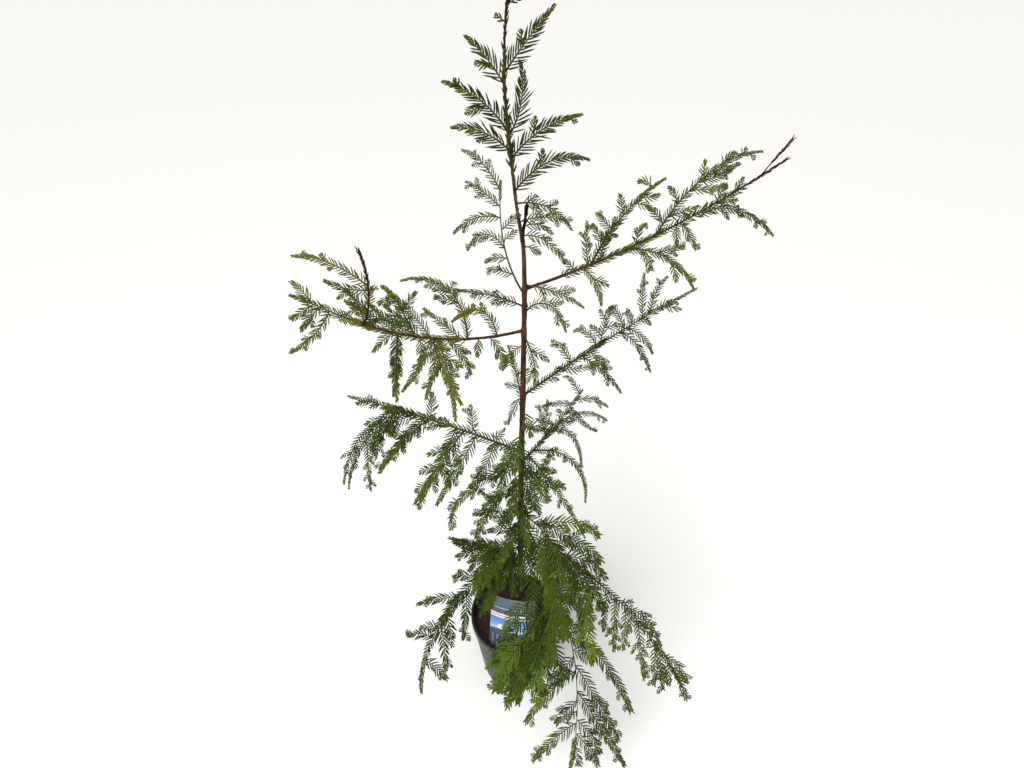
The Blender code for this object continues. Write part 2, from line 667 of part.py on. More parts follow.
def build_mass(name, number, crowd):
    mass, stem, carrier = stem_of(name)
    rng = random.Random(number)
    length = mass["length"]
    woody = part_of_curve(stem, 0.0, STEM_SHARE, 24)
    woody = part_of_curve(woody, 0.0, 1.0, steps_along(woody, length * STEM_SHARE, STEM_STEP))
    piece = make_object("foliage_" + name, tube(woody, STEM_RADII, STEM_SIDES, carrier), "needles")
    end = part_of_curve(stem, STEM_SHARE - SPRAY_SINK / length, 1.0, 8)
    end_length = length * (1.0 - STEM_SHARE) + SPRAY_SINK
    sprays = [(end, end_length, min(NEEDLE_REACH, end_length * SPRAY_SLENDERNESS))]
    for point, leave, forward, normal, full in side_twigs(mass, stem, rng):
        for size in (full * shrink for shrink in SHRINKS):
            curve = twig_curve(point, leave, forward, normal, size)
            reach = min(NEEDLE_REACH, size * SPRAY_SLENDERNESS)
            if fits(crowd, name, curve, size, reach):
                sprays.append((curve, size, reach))
                break
    blades = []
    for spray in sprays:
        crowd.add(name, blade_samples(*spray), CLEARANCE)
        blades.append(make_object("spray", blade(*spray), "needles"))
    apply_boolean(piece, "UNION", blades)
    return len(sprays) - 1


def main():
    for item in list(bpy.data.objects):
        bpy.data.objects.remove(item)
    for name in MATERIALS:
        make_material(name)
    build_pot()
    build_soil()
    build_tag_card("picture_tag", 0.0, TAG_BURIED)
    build_trunk()
    build_stub()
    for name in BOUGHS:
        build_bough(name)
    crowd = Crowd()
    fill_crowd(crowd)
    for number, name in enumerate(MASSES):
        placed = build_mass(name, number, crowd)
        print(name, "side twigs placed:", placed, "of", MASSES[name][7])


main()
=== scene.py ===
import math
import random

import bmesh
import bpy
import numpy as np
from mathutils import Matrix, Vector, noise


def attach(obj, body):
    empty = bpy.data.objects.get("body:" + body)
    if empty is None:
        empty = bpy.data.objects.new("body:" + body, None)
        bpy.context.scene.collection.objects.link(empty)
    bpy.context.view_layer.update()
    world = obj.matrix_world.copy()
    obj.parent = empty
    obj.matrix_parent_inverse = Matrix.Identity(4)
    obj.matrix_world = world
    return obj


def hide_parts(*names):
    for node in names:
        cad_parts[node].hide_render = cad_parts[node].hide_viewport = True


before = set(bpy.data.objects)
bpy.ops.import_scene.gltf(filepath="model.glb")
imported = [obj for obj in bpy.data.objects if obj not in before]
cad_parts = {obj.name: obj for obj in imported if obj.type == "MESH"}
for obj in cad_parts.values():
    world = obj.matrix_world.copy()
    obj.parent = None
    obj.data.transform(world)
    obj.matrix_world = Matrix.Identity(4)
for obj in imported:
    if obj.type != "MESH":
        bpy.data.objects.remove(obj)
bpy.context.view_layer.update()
print("Frame loaded,", len(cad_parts), "nodes")


# Small helpers for meshes and materials


def linearColour(code):
    # sRGB hex to the linear values that the sockets take
    parts = [int(code[k:k + 2], 16) / 255 for k in (1, 3, 5)]
    return tuple(c / 12.92 if c <= 0.04045 else ((c + 0.055) / 1.055) ** 2.4 for c in parts) + (1.0,)


def addNode(tree, kind, inputs=None, stops=None, out=0, **settings):
    # One node with its settings, its ramp stops and its inputs, each a value or another node's
    # output. It gives back the output named, or all of them where out is None
    node = tree.nodes.new("ShaderNode" + kind)
    for key, value in settings.items():
        setattr(node, key, value)
    for key, value in (inputs or {}).items():
        if isinstance(value, bpy.types.NodeSocket):
            tree.links.new(value, node.inputs[key])
        else:
            node.inputs[key].default_value = value
    if stops:
        ramp = node.color_ramp
        while len(ramp.elements) < len(stops):
            ramp.elements.new(1.0)
        for element, (place, code) in zip(ramp.elements, stops):
            element.position = place
            element.color = linearColour(code)
    return node.outputs if out is None else node.outputs[out]


def newMaterial(name, roughness, code="#808080", specular=0.5):
    material = bpy.data.materials.new(name)
    material.use_nodes = True
    shader = material.node_tree.nodes["Principled BSDF"]
    shader.inputs["Base Color"].default_value = linearColour(code)
    shader.inputs["Roughness"].default_value = roughness
    shader.inputs["Specular IOR Level"].default_value = specular
    return material, material.node_tree, shader


def feedShader(tree, shader, sources):
    for socket, source in sources.items():
        tree.links.new(source, shader.inputs[socket])


def stretchedNoise(tree, place, scale, detail, roughness=0.5):
    # Noise stretched by its scale, in grains per metre along each axis
    mapped = addNode(tree, "Mapping", {"Vector": place, "Scale": scale})
    return addNode(tree, "TexNoise", {
        "Vector": mapped, "Scale": 1.0, "Detail": detail, "Roughness": roughness})


def newObject(name, data):
    made = bpy.data.objects.new(name, data)
    bpy.context.scene.collection.objects.link(made)
    return made


def meshFrom(name, bm):
    mesh = bpy.data.meshes.new(name)
    bm.to_mesh(mesh)
    bm.free()
    return mesh


def placePiece(name, mesh, materials, nodes=()):
    # Makes the mesh an object that rides on the frame's one body and stands for its CAD nodes
    for material in materials:
        mesh.materials.append(material)
    piece = newObject(name, mesh)
    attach(piece, "root")
    if nodes:
        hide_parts(*nodes)


def finishPiece(name, bm, materials, nodes, smoothAngle):
    # Smooth, apart from edges sharper than the angle
    mesh = meshFrom(name, bm)
    mesh.shade_smooth()
    mesh.set_sharp_from_angle(angle=math.radians(smoothAngle))
    placePiece(name, mesh, materials, nodes)


def meshOfTriangles(name, points, triangles, shades=None, smooth=False):
    # A mesh straight from arrays, for the many small things that are joined into one piece
    mesh = bpy.data.meshes.new(name)
    mesh.vertices.add(len(points))
    mesh.vertices.foreach_set("co", np.asarray(points, np.float32).ravel())
    mesh.loops.add(len(triangles) * 3)
    mesh.loops.foreach_set("vertex_index", np.asarray(triangles, np.int32).ravel())
    mesh.polygons.add(len(triangles))
    mesh.polygons.foreach_set("loop_start", np.arange(0, len(triangles) * 3, 3, dtype=np.int32))
    if shades is not None:
        mesh.polygons.foreach_set("material_index", np.asarray(shades, np.int32))
    mesh.update(calc_edges=True)
    if smooth:
        mesh.shade_smooth()
    else:
        mesh.shade_flat()
    return mesh


# Camera, light and floor

stage = dict(
    cameraPlace=(-0.006, -0.561, 1.161), cameraTurn=(52.0, 0.0, 0.0),
    lens=19.51, sensorWidth=36.0, clip=(0.01, 200.0),
    floorRadius=60.0, floorSides=128, floorCode="#f4f4f3", floorRoughness=0.9,
    skyCode="#ffffff", skyStrength=0.33,
    overhead=dict(turn=(26.0, -18.0, 0.0), strength=2.80, spread=50.0, code="#fffdf9"),
    aim=(0.0, 0.0, 0.6),
    lights=(
        # place, size in metres, watts, colour
        ((-1.2, -1.6, 1.9), 1.2, 13.0, "#fffaf2"),
        ((1.6, -0.9, 1.5), 1.4, 6.0, "#f6f9ff"),
    ),
)


def newLight(name, kind, strength, code):
    lamp = bpy.data.lights.new(name, kind)
    lamp.energy, lamp.color = strength, linearColour(code)[:3]
    return lamp, newObject(name, lamp)


def buildStage():
    scene = bpy.context.scene
    optics = bpy.data.cameras.new("camera")
    optics.sensor_width, optics.lens = stage["sensorWidth"], stage["lens"]
    optics.clip_start, optics.clip_end = stage["clip"]
    camera = newObject("camera", optics)
    camera.location = stage["cameraPlace"]
    camera.rotation_euler = [math.radians(a) for a in stage["cameraTurn"]]
    scene.camera = camera
    scene.view_settings.view_transform = "Standard"
    world = bpy.data.worlds.new("paleStudio")
    world.use_nodes = True
    sky = world.node_tree.nodes["Background"]
    sky.inputs["Color"].default_value = linearColour(stage["skyCode"])
    sky.inputs["Strength"].default_value = stage["skyStrength"]
    scene.world = world
    for number, (place, size, watts, code) in enumerate(stage["lights"]):
        lamp, light = newLight(f"softLight{number}", "AREA", watts, code)
        lamp.shape, lamp.size = "DISK", size
        light.location = place
        light.rotation_euler = (Vector(stage["aim"]) - Vector(place)).to_track_quat("-Z", "Y").to_euler()
    # One broad overhead light, so that the floor is as pale far off as it is near
    above = stage["overhead"]
    lamp, light = newLight("overheadLight", "SUN", above["strength"], above["code"])
    lamp.angle = math.radians(above["spread"])
    light.rotation_euler = [math.radians(a) for a in above["turn"]]
    # Matt painted studio floor, so wide that its edge is on the horizon
    paint = newMaterial("mattStudioPaint", stage["floorRoughness"], stage["floorCode"])[0]
    bm = bmesh.new()
    bmesh.ops.create_circle(bm, cap_ends=True, segments=stage["floorSides"], radius=stage["floorRadius"])
    floor = newObject("studioFloor", meshFrom("studioFloor", bm))
    floor.data.materials.append(paint)
    print("Camera, lights and floor are in place")


buildStage()


# Materials

materials = {}


def makeBark():
    # Thin fibrous bark of a young conifer: matt, reddish brown with fine stringy ridges up the
    # stem and darker furrows, and greyer brown on the leader and the boughs. The paler ridges and darker
    # furrows are partly painted highlight and painted shade
    material, tree, shader = newMaterial("fibrousBark", 0.86, specular=0.25)
    flow = addNode(tree, "Attribute", attribute_name="barkFlow", out="Vector")
    fibre = stretchedNoise(tree, flow, (830, 830, 62), 5.0, 0.62)  # 1.2 mm wide and 16 mm long
    flake = stretchedNoise(tree, flow, (250, 250, 110), 3.0)  # 4 mm wide
    both = addNode(tree, "Math", {0: fibre, 1: flake}, operation="ADD")
    level = addNode(tree, "Math", {0: both, 1: 0.5}, operation="MULTIPLY")
    # the ridge height sets the colour too: partly painted highlight on the ridges and painted shade in the
    # furrows
    red = addNode(tree, "ValToRGB", {"Fac": level}, stops=(
        (0.36, "#160a05"), (0.47, "#371c0c"), (0.57, "#522c14"), (0.72, "#78502e")))
    grey = addNode(tree, "ValToRGB", {"Fac": level}, stops=(
        (0.36, "#181109"), (0.47, "#352919"), (0.58, "#51422c"), (0.74, "#716046")))
    place = addNode(tree, "TexCoord", out="Object")
    split = addNode(tree, "SeparateXYZ", {0: place}, out=None)
    upper = addNode(tree, "MapRange", {"Value": split["Z"], "From Min": 0.84, "From Max": 0.94})
    # the boughs turn as grey as the leader 3 to 11 cm from the trunk
    beside = addNode(tree, "CombineXYZ", {"X": split["X"], "Y": split["Y"]})
    away = addNode(tree, "VectorMath", {0: beside}, operation="LENGTH", out="Value")
    outer = addNode(tree, "MapRange", {"Value": away, "From Min": 0.03, "From Max": 0.11, "To Max": 0.9})
    either = addNode(tree, "Math", {0: upper, 1: outer}, operation="MAXIMUM")
    colour = addNode(tree, "Mix", {0: either, 6: red, 7: grey}, data_type="RGBA", out=2)
    rough = addNode(tree, "MapRange", {"Value": level, "To Min": 0.95, "To Max": 0.72})
    bump = addNode(tree, "Bump", {"Height": level, "Strength": 0.8, "Distance": 0.0006})
    feedShader(tree, shader, {"Base Color": colour, "Roughness": rough, "Normal": bump})
    materials["bark"] = material


def makeShootSkin():
    # Smooth skin of young shoots: satin, green at the growing end and brown where it has turned
    # to wood, with specks 2.4 mm wide
    material, tree, shader = newMaterial("youngShootSkin", 0.6, specular=0.2)
    age = addNode(tree, "Attribute", attribute_name="shootAge", out="Fac")
    place = addNode(tree, "TexCoord", out="Object")
    speck = addNode(tree, "TexNoise", {"Vector": place, "Scale": 420.0, "Detail": 3.0})
    uneven = addNode(tree, "MapRange", {"Value": speck, "To Min": -0.22, "To Max": 0.22})
    turned = addNode(tree, "Math", {0: age, 1: uneven}, operation="ADD")
    colour = addNode(tree, "ValToRGB", {"Fac": turned}, stops=(
        (0.0, "#42541a"), (0.45, "#454c1c"), (0.75, "#3f3319"), (1.0, "#28180e")))
    rough = addNode(tree, "MapRange", {"Value": turned, "To Min": 0.5, "To Max": 0.85})
    bump = addNode(tree, "Bump", {"Height": speck, "Strength": 0.4, "Distance": 0.0003})
    feedShader(tree, shader, {"Base Color": colour, "Roughness": rough, "Normal": bump})
    materials["shoot"] = material


def makeYoungBark():
    # Skin of second-year boughs: satin to matt, olive green with brown cork patches and streaks
    material, tree, shader = newMaterial("youngBark", 0.7, specular=0.2)
    flow = addNode(tree, "Attribute", attribute_name="barkFlow", out="Vector")
    cork = stretchedNoise(tree, flow, (330, 330, 80), 4.0)  # patches 3 mm wide and 12 mm long
    streak = stretchedNoise(tree, flow, (1250, 1250, 90), 3.0)  # 0.8 mm wide
    both = addNode(tree, "Math", {0: cork, 1: streak}, operation="ADD")
    level = addNode(tree, "Math", {0: both, 1: 0.5}, operation="MULTIPLY")
    colour = addNode(tree, "ValToRGB", {"Fac": level}, stops=(
        (0.36, "#23170c"), (0.48, "#3b3016"), (0.56, "#434b1c"), (0.70, "#5c662b")))
    bump = addNode(tree, "Bump", {"Height": level, "Strength": 0.5, "Distance": 0.0004})
    feedShader(tree, shader, {"Base Color": colour, "Normal": bump})
    materials["youngBark"] = material


def makeDeadWood():
    # Dry dead wood: matt, nearly black, with grey weathered streaks along the grain
    material, tree, shader = newMaterial("weatheredDeadWood", 0.9, specular=0.15)
    flow = addNode(tree, "Attribute", attribute_name="barkFlow", out="Vector")
    grain = stretchedNoise(tree, flow, (1400, 1400, 120), 5.0)  # 0.7 mm wide and 8 mm long
    colour = addNode(tree, "ValToRGB", {"Fac": grain}, stops=(
        (0.35, "#070402"), (0.55, "#120b06"), (0.75, "#2a2017")))
    bump = addNode(tree, "Bump", {"Height": grain, "Strength": 0.9, "Distance": 0.0005})
    feedShader(tree, shader, {"Base Color": colour, "Normal": bump})
    materials["deadWood"] = material


# Soft flat needles: satin, each spray in one plain colour. The deep and the bright green are the mid green
# made darker and paler: partly painted shade and painted light, partly the needles' own spread of tone
needleShades = {
    "needleGreen": ("#3e4f0f", 0.60),
    # partly painted shade: the mid green darkened for needles in shade
    "needleDeep": ("#28360a", 0.62),
    "needleSage": ("#3d4619", 0.64),
    # partly painted light: the mid green made paler for top-lit needles
    "needleBright": ("#4f6414", 0.58),
    "needleFresh": ("#66701d", 0.58),
    "needleOlive": ("#595a20", 0.62),
    "needleBronze": ("#5b4b22", 0.66),
    "needleRust": ("#2f2117", 0.70),
}


def makeNeedles():
    for name, (code, roughness) in needleShades.items():
        materials[name] = newMaterial(name, roughness, code, specular=0.12)[0]


makeBark()
makeYoungBark()
makeShootSkin()
makeDeadWood()
makeNeedles()
print("Bark, shoot and needle materials are made")


# The tree's own rule: limbs are curves whose rise and heading change evenly, and each curve
# is an array of frames (point, direction, side, normal)

gap = 0.0003
mergeDistance = 1e-6
upward = np.array((0.0, 0.0, 1.0))

trunk = dict(
    soilTop=0.161,
    # height above the soil, shift in X and in Y, and radius
    stations=(
        (0.000, 0.0072, 0.000, 0.0070),
        (0.012, 0.0072, 0.000, 0.0052),
        (0.045, 0.0072, 0.000, 0.0044),
        (0.200, 0.0080, 0.001, 0.0040),
        (0.400, 0.0075, 0.001, 0.0035),
        (0.600, 0.0082, 0.000, 0.0030),
        (0.740, 0.0068, 0.000, 0.0025),
        (0.790, -0.0010, 0.001, 0.0020),
        (0.850, -0.0080, 0.002, 0.0018),
        (0.905, -0.0130, 0.001, 0.0016),
        (0.935, -0.0125, 0.000, 0.0014),
    ),
    sides=36, ringStep=0.0022, ridgeDepth=0.085, flareLobes=5,
    collarSwell=0.30, shootCollar=0.7, leastOfTip=0.004, stubCollar=0.35,
    curveSteps=420, foot=-0.002,
    # thicker bark on the lower trunk, hardly any on the leader: heights and shares of the radius
    barkHeights=(0.30, 0.52, 0.72, 0.86, 0.95), barkShares=(1.0, 1.18, 1.16, 1.0, 0.84),
)

stub = dict(
    at=0.918, heading=8.0, rise=83.0, length=0.039, steps=12,
    radii=(0.0021, 0.0019, 0.0018, 0.0018, 0.0024, 0.0016),
    dried=(1.0, 0.88, 0.78, 0.74, 0.74, 0.80),  # shares of the radii left by drying
    sides=18, ringStep=0.0009, ridgeDepth=0.20,
    # splinters of the broken end: share of the length, turn in degrees and swell
    splinters=((0.35, 40, 0.25), (0.55, 200, 0.30), (0.72, 320, 0.30), (0.90, 80, 0.40), (0.95, 250, 0.45)),
)

# height of the root, heading, rise at the root and tip, swing, reach of the whole limb and
# how much of it is bough
boughs = {
    "right_upper": dict(at=0.859, heading=12, rise=14, riseTip=33, swing=0, reach=0.321, limb=0.165),
    "left_upper": dict(at=0.804, heading=190, rise=-11, riseTip=48, swing=0, reach=0.282, limb=0.196),
    "right_middle": dict(at=0.703, heading=30, rise=21, riseTip=10, swing=0, reach=0.299, limb=0.135),
    "right_lower": dict(at=0.578, heading=55, rise=-4, riseTip=16, swing=0, reach=0.180, limb=0.068),
    "left_middle": dict(at=0.600, heading=165, rise=15, riseTip=5, swing=0, reach=0.268, limb=0.205),
    "low_right": dict(at=0.395, heading=-18, rise=-5, riseTip=-28, swing=-46, reach=0.349, limb=0.130),
    "low_front": dict(at=0.424, heading=-36, rise=-42, riseTip=-58, swing=-74, reach=0.415, limb=0.130),
}
boughRadii = (0.0026, 0.0015)

# what carries the stem and where, its heading, rise and rise at the tip, swing and length,
# its side twigs and the longest of them, the side of the first one, and the frond's roll
massColumns = (
    "on", "at", "heading", "rise", "riseTip", "swing", "length", "twigs", "longest", "side", "roll",
)
masses = {
    "leader_tip": ("trunk", 1.096, 0, 88, 72, 0, 0.088, 4, 0.036, 1, 80),
    "leader_left_1": ("trunk", 1.065, 185, 60, 38, 0, 0.051, 1, 0.030, -1, 70),
    "leader_left_2": ("trunk", 1.024, 195, 60, 12, 0, 0.084, 1, 0.040, -1, 70),
    "leader_left_3": ("trunk", 1.007, 165, 44, -10, 0, 0.065, 1, 0.034, -1, 70),
    "leader_right_1": ("trunk", 1.074, 15, 52, 44, 0, 0.068, 1, 0.030, 1, 70),
    "leader_right_2": ("trunk", 1.021, 45, 42, 112, 0, 0.068, 0, 0.030, 1, 60),
    "leader_right_3": ("trunk", 1.000, -20, 54, 14, 0, 0.083, 1, 0.034, 1, 70),
    "leader_right_4": ("trunk", 0.976, 20, 52, -8, 0, 0.094, 1, 0.040, 1, 60),
    "upright_shoot": ("trunk", 0.852, 140, 42, 112, -34, 0.150, 5, 0.050, 1, -30),
    "right_small": ("trunk", 0.968, 5, 10, -48, 0, 0.068, 2, 0.040, -1, 50),
    "right_near": ("trunk", 0.864, -19, 5, -30, 0, 0.072, 2, 0.040, -1, 25),
    "right_arch": ("trunk", 0.826, -23, 68, -55, -48, 0.083, 0, 0.030, 1, 40),
    "front_hanging": ("trunk", 0.797, -60, -28, -110, 0, 0.078, 2, 0.040, 1, 0),
    "left_inner": ("trunk", 0.836, 190, 32, 8, 0, 0.087, 3, 0.040, -1, 45),
    "left_drooping": ("trunk", 0.575, 210, 16, -83, -18, 0.154, 5, 0.062, -1, 0),
    "left_short": ("trunk", 0.374, 165, -21, 6, 0, 0.129, 4, 0.045, 1, 20),
    "left_low": ("trunk", 0.352, 207, 12, -88, 38, 0.324, 7, 0.070, 1, 0),
    "front_right": ("trunk", 0.464, -50, 25, -76, -20, 0.214, 6, 0.085, 1, 0),
    "front_middle": ("trunk", 0.446, -60, 14, -83, -41, 0.247, 6, 0.080, -1, 0),
    "front_low": ("trunk", 0.410, -72, 7, -64, -44, 0.262, 6, 0.075, 1, 0),
    "back_left": ("trunk", 0.380, 118, 12, -30, 0, 0.170, 4, 0.062, 1, 0),
    "back_right": ("trunk", 0.440, 72, 10, -30, 0, 0.200, 5, 0.062, -1, 0),
    "back_upper": ("trunk", 0.690, 100, 22, -8, 0, 0.120, 3, 0.036, 1, 0),
    "right_upper_near": ("right_upper", 0.070, -50, -9, -84, 0, 0.051, 1, 0.030, 1, 0),
    "right_upper_back": ("right_upper", 0.080, 40, 55, 9, 0, 0.140, 4, 0.050, 1, 30),
    "right_upper_low": ("right_upper", 0.119, -25, 23, -62, 0, 0.098, 3, 0.050, -1, 30),
    "right_upper_long": ("right_upper", 0.159, 30, 59, -8, 0, 0.171, 5, 0.045, 1, 50),
    "right_upper_tip": ("right_upper", 0.165, 0, 0, 0, 0, 0.156, 3, 0.080, -2, 35),
    "left_upper_back": ("left_upper", 0.068, 95, 48, -21, 78, 0.145, 4, 0.042, -1, 0),
    "left_upper_hanging": ("left_upper", 0.107, 272, 18, -59, 48, 0.103, 5, 0.055, 1, 0),
    "left_upper_middle": ("left_upper", 0.130, 123, 44, 0, 2, 0.086, 3, 0.048, 1, -20),
    "left_upper_drop": ("left_upper", 0.149, 230, -75, -84, 0, 0.092, 4, 0.042, 1, 0),
    "left_upper_rise": ("left_upper", 0.188, 150, 121, 72, 0, 0.104, 3, 0.080, 2, -60),
    "left_upper_tip": ("left_upper", 0.196, 0, 0, 0, 0, 0.086, 3, 0.085, 1, -40),
    "right_middle_low": ("right_middle", 0.096, -30, -14, -51, 0, 0.074, 3, 0.042, -1, 0),
    "right_middle_back": ("right_middle", 0.128, 60, 90, 14, 0, 0.058, 3, 0.045, 1, 30),
    "right_middle_tip": ("right_middle", 0.135, 0, 0, 0, 0, 0.164, 5, 0.075, -1, 0),
    "right_lower_arch": ("right_lower", 0.062, -30, 71, -33, -62, 0.130, 3, 0.040, 1, 0),
    "right_lower_bow": ("right_lower", 0.030, -20, 31, -11, -82, 0.152, 3, 0.045, 1, 0),
    "right_lower_down": ("right_lower", 0.018, -40, -28, -57, 0, 0.150, 5, 0.070, 1, 0),
    "right_lower_tip": ("right_lower", 0.068, 0, 0, 0, 0, 0.112, 5, 0.050, 1, 0),
    "left_middle_frond": ("left_middle", 0.088, 225, -35, -42, 0, 0.125, 5, 0.055, 1, 0),
    "left_middle_drop": ("left_middle", 0.140, 220, -8, -50, 0, 0.105, 4, 0.044, 1, 0),
    "left_middle_inner": ("left_middle", 0.165, 222, 58, -112, 0, 0.116, 4, 0.048, -1, 0),
    "left_middle_outer": ("left_middle", 0.199, 212, -31, -79, 0, 0.155, 5, 0.055, 1, 0),
    "left_middle_tip": ("left_middle", 0.205, 0, 0, 0, 0, 0.063, 3, 0.042, 1, 0),
    "low_right_tip": ("low_right", 0.130, 0, 0, 0, 0, 0.219, 6, 0.085, -1, 0),
    "low_front_tip": ("low_front", 0.130, 0, 0, 0, 0, 0.285, 8, 0.098, 1, 0),
}
twigRule = dict(
    first=0.12, last=0.68, angle=56.0, angleSpread=9.0, forward=0.35, sag=0.22,
    shortest=0.45, widest=0.4, uneven=(0.88, 1.06), roll=14.0,
    stemShare=0.72, sink=0.004, slenderness=0.36, reach=0.0135, shrinks=(1.0, 0.8, 0.62),
    sampleStep=0.0045, rootShare=0.12,
    clearance=0.0062, limbClearance=0.0055, trunkClearance=0.0075, stemClearance=0.0045,
    floorClearance=0.012, potClearance=0.006,
)


def unit(v):
    return v / np.linalg.norm(v, axis=-1, keepdims=True)


def turnedOut(way, other, angle):
    # The first direction turned by an angle towards the second
    return way * math.cos(angle) + other * math.sin(angle)


def headingVector(heading, rise):
    a, e = math.radians(heading), math.radians(rise)
    return np.array((math.cos(e) * math.cos(a), math.cos(e) * math.sin(a), math.sin(e)))


def limbCurve(start, heading, rise, riseTip, swing, reach, steps=24):
    curve, point = [], np.array(start, float)
    for i in range(steps + 1):
        share = i / steps
        turn = heading + swing * share
        ahead = headingVector(turn, rise + (riseTip - rise) * share)
        side = headingVector(turn + 90.0, 0.0)
        curve.append((point.copy(), ahead, side, np.cross(ahead, side)))
        middle = share + 0.5 / steps
        step = headingVector(heading + swing * middle, rise + (riseTip - rise) * middle)
        point = point + step * (reach / steps)
    return np.array(curve)


def twigCurve(start, leave, forward, normal, length, sag=None, steps=8):
    # A side twig that bends towards its stem's direction and sags a little
    sag = twigRule["sag"] if sag is None else sag
    curve, point = [], np.array(start, float)
    for i in range(steps + 1):
        share = i / steps
        ahead = unit(leave + forward * (twigRule["forward"] * share) - upward * (sag * share))
        side = unit(np.cross(normal, ahead))
        curve.append((point.copy(), ahead, side, np.cross(ahead, side)))
        point = point + ahead * (length / steps)
    return np.array(curve)


def framesAt(curve, shares):
    # The frames at shares of the curve's length, from 0 to 1
    spot = np.clip(np.atleast_1d(shares), 0.0, 1.0) * (len(curve) - 1)
    i = np.minimum(spot.astype(int), len(curve) - 2)
    blend = (spot - i)[:, None, None]
    return curve[i] * (1.0 - blend) + curve[i + 1] * blend


def partOfCurve(curve, first, last, steps):
    return framesAt(curve, first + (last - first) * np.arange(steps + 1) / steps)


def rolled(curve, degrees):
    c, s = math.cos(math.radians(degrees)), math.sin(math.radians(degrees))
    turned = curve.copy()
    turned[:, 2] = curve[:, 2] * c + curve[:, 3] * s
    turned[:, 3] = curve[:, 3] * c - curve[:, 2] * s
    return turned


def curveLength(curve):
    return float(np.linalg.norm(np.diff(curve[:, 0], axis=0), axis=1).sum())


def trunkFrame(height):
    # The trunk's centre and radius at a height above the floor, smoothly between stations
    level = height - trunk["soilTop"]
    stations = trunk["stations"]
    i = max(k for k in range(len(stations) - 1) if k == 0 or stations[k][0] <= level)
    low, high = stations[i], stations[i + 1]
    before, after = stations[max(i - 1, 0)], stations[min(i + 2, len(stations) - 1)]
    span = high[0] - low[0]
    t = min(max((level - low[0]) / span, 0.0), 1.0)
    values = []
    for k in (1, 2):
        slopeLow = (high[k] - before[k]) / (high[0] - before[0]) * span if i else high[k] - low[k]
        slopeHigh = (after[k] - low[k]) / (after[0] - low[0]) * span
        values.append(
            low[k] * (2 * t**3 - 3 * t**2 + 1) + slopeLow * (t**3 - 2 * t**2 + t)
            + high[k] * (3 * t**2 - 2 * t**3) + slopeHigh * (t**3 - t**2)
        )
    return np.array((values[0], values[1], height)), low[3] + (high[3] - low[3]) * t


def boughCurve(name):
    bough = boughs[name]
    start, _ = trunkFrame(bough["at"])
    return limbCurve(start, *(bough[k] for k in ("heading", "rise", "riseTip", "swing", "reach")))


def boughRadius(name, along):
    share = min(along / boughs[name]["limb"], 1.0)
    return boughRadii[0] + (boughRadii[1] - boughRadii[0]) * share


def stemOf(name):
    # The whole curve of a mass's stem, with the radius of what carries it
    mass = dict(zip(massColumns, masses[name]))
    if mass["on"] == "trunk":
        start, radius = trunkFrame(mass["at"])
        if mass["at"] >= trunk["soilTop"] + trunk["stations"][-1][0]:
            start = start + upward * gap
    else:
        whole = boughCurve(mass["on"])
        bough = boughs[mass["on"]]
        start = framesAt(whole, mass["at"] / bough["reach"])[0][0]
        radius = boughRadius(mass["on"], mass["at"])
        if mass["at"] >= bough["limb"]:
            count = max(6, round(mass["length"] / 0.01))
            first = (bough["limb"] + gap) / bough["reach"]
            return mass, rolled(partOfCurve(whole, first, 1.0, count), mass["roll"]), radius
    curve = limbCurve(start, *(mass[k] for k in ("heading", "rise", "riseTip", "swing", "length")))
    return mass, rolled(curve, mass["roll"]), radius


def sideTwigs(mass, stem, rng):
    side = 1 if mass["side"] > 0 else -1
    rule = twigRule
    for i in range(mass["twigs"]):
        spread = (i + 0.5) / mass["twigs"]
        share = rule["first"] + (rule["last"] - rule["first"]) * spread
        point, ahead, across, normal = framesAt(stem, share)[0]
        angle = math.radians(rule["angle"] + rng.uniform(-rule["angleSpread"], rule["angleSpread"]))
        away = abs(spread - rule["widest"]) / (1.0 - rule["widest"])
        length = mass["longest"] * (1.0 - (1.0 - rule["shortest"]) * away) * rng.uniform(*rule["uneven"])
        roll = math.radians(rng.uniform(-rule["roll"], rule["roll"]))
        leave, tilted = turnedOut(ahead, across, side * angle), turnedOut(normal, across, roll)
        yield share, side, point, leave, ahead, tilted, length
        if abs(mass["side"]) == 1:
            side = -side


def bladeSamples(curve, length, reach):
    # Points spread over the flat of a spray
    rows = max(2, math.ceil(length / twigRule["sampleStep"]))
    columns = math.ceil(reach / twigRule["sampleStep"])
    frames = framesAt(curve, np.arange(rows + 1) / rows)
    offsets = reach * np.arange(-columns, columns + 1) / columns
    return (frames[:, None, 0] + frames[:, None, 2] * offsets[None, :, None]).reshape(-1, 3)


def lineSamples(curve, step=0.003):
    count = max(2, math.ceil(curveLength(curve) / step))
    return framesAt(curve, np.arange(count + 1) / count)[:, 0]


crowd = []  # owner, sample points, margin, lowest and highest corner


def joinCrowd(owner, spots, margin):
    crowd.append((owner, spots, margin, spots.min(0), spots.max(0)))


def isClear(owner, spots):
    low, high = spots.min(0), spots.max(0)
    for other, others, margin, otherLow, otherHigh in crowd:
        if other == owner or (low - margin > otherHigh).any() or (high + margin < otherLow).any():
            continue
        near = others[((others > low - margin) & (others < high + margin)).all(1)]
        if len(near) and ((spots[:, None] - near[None]) ** 2).sum(-1).min() < margin**2:
            return False
    return True


# Nursery pot, potting soil and picture tag

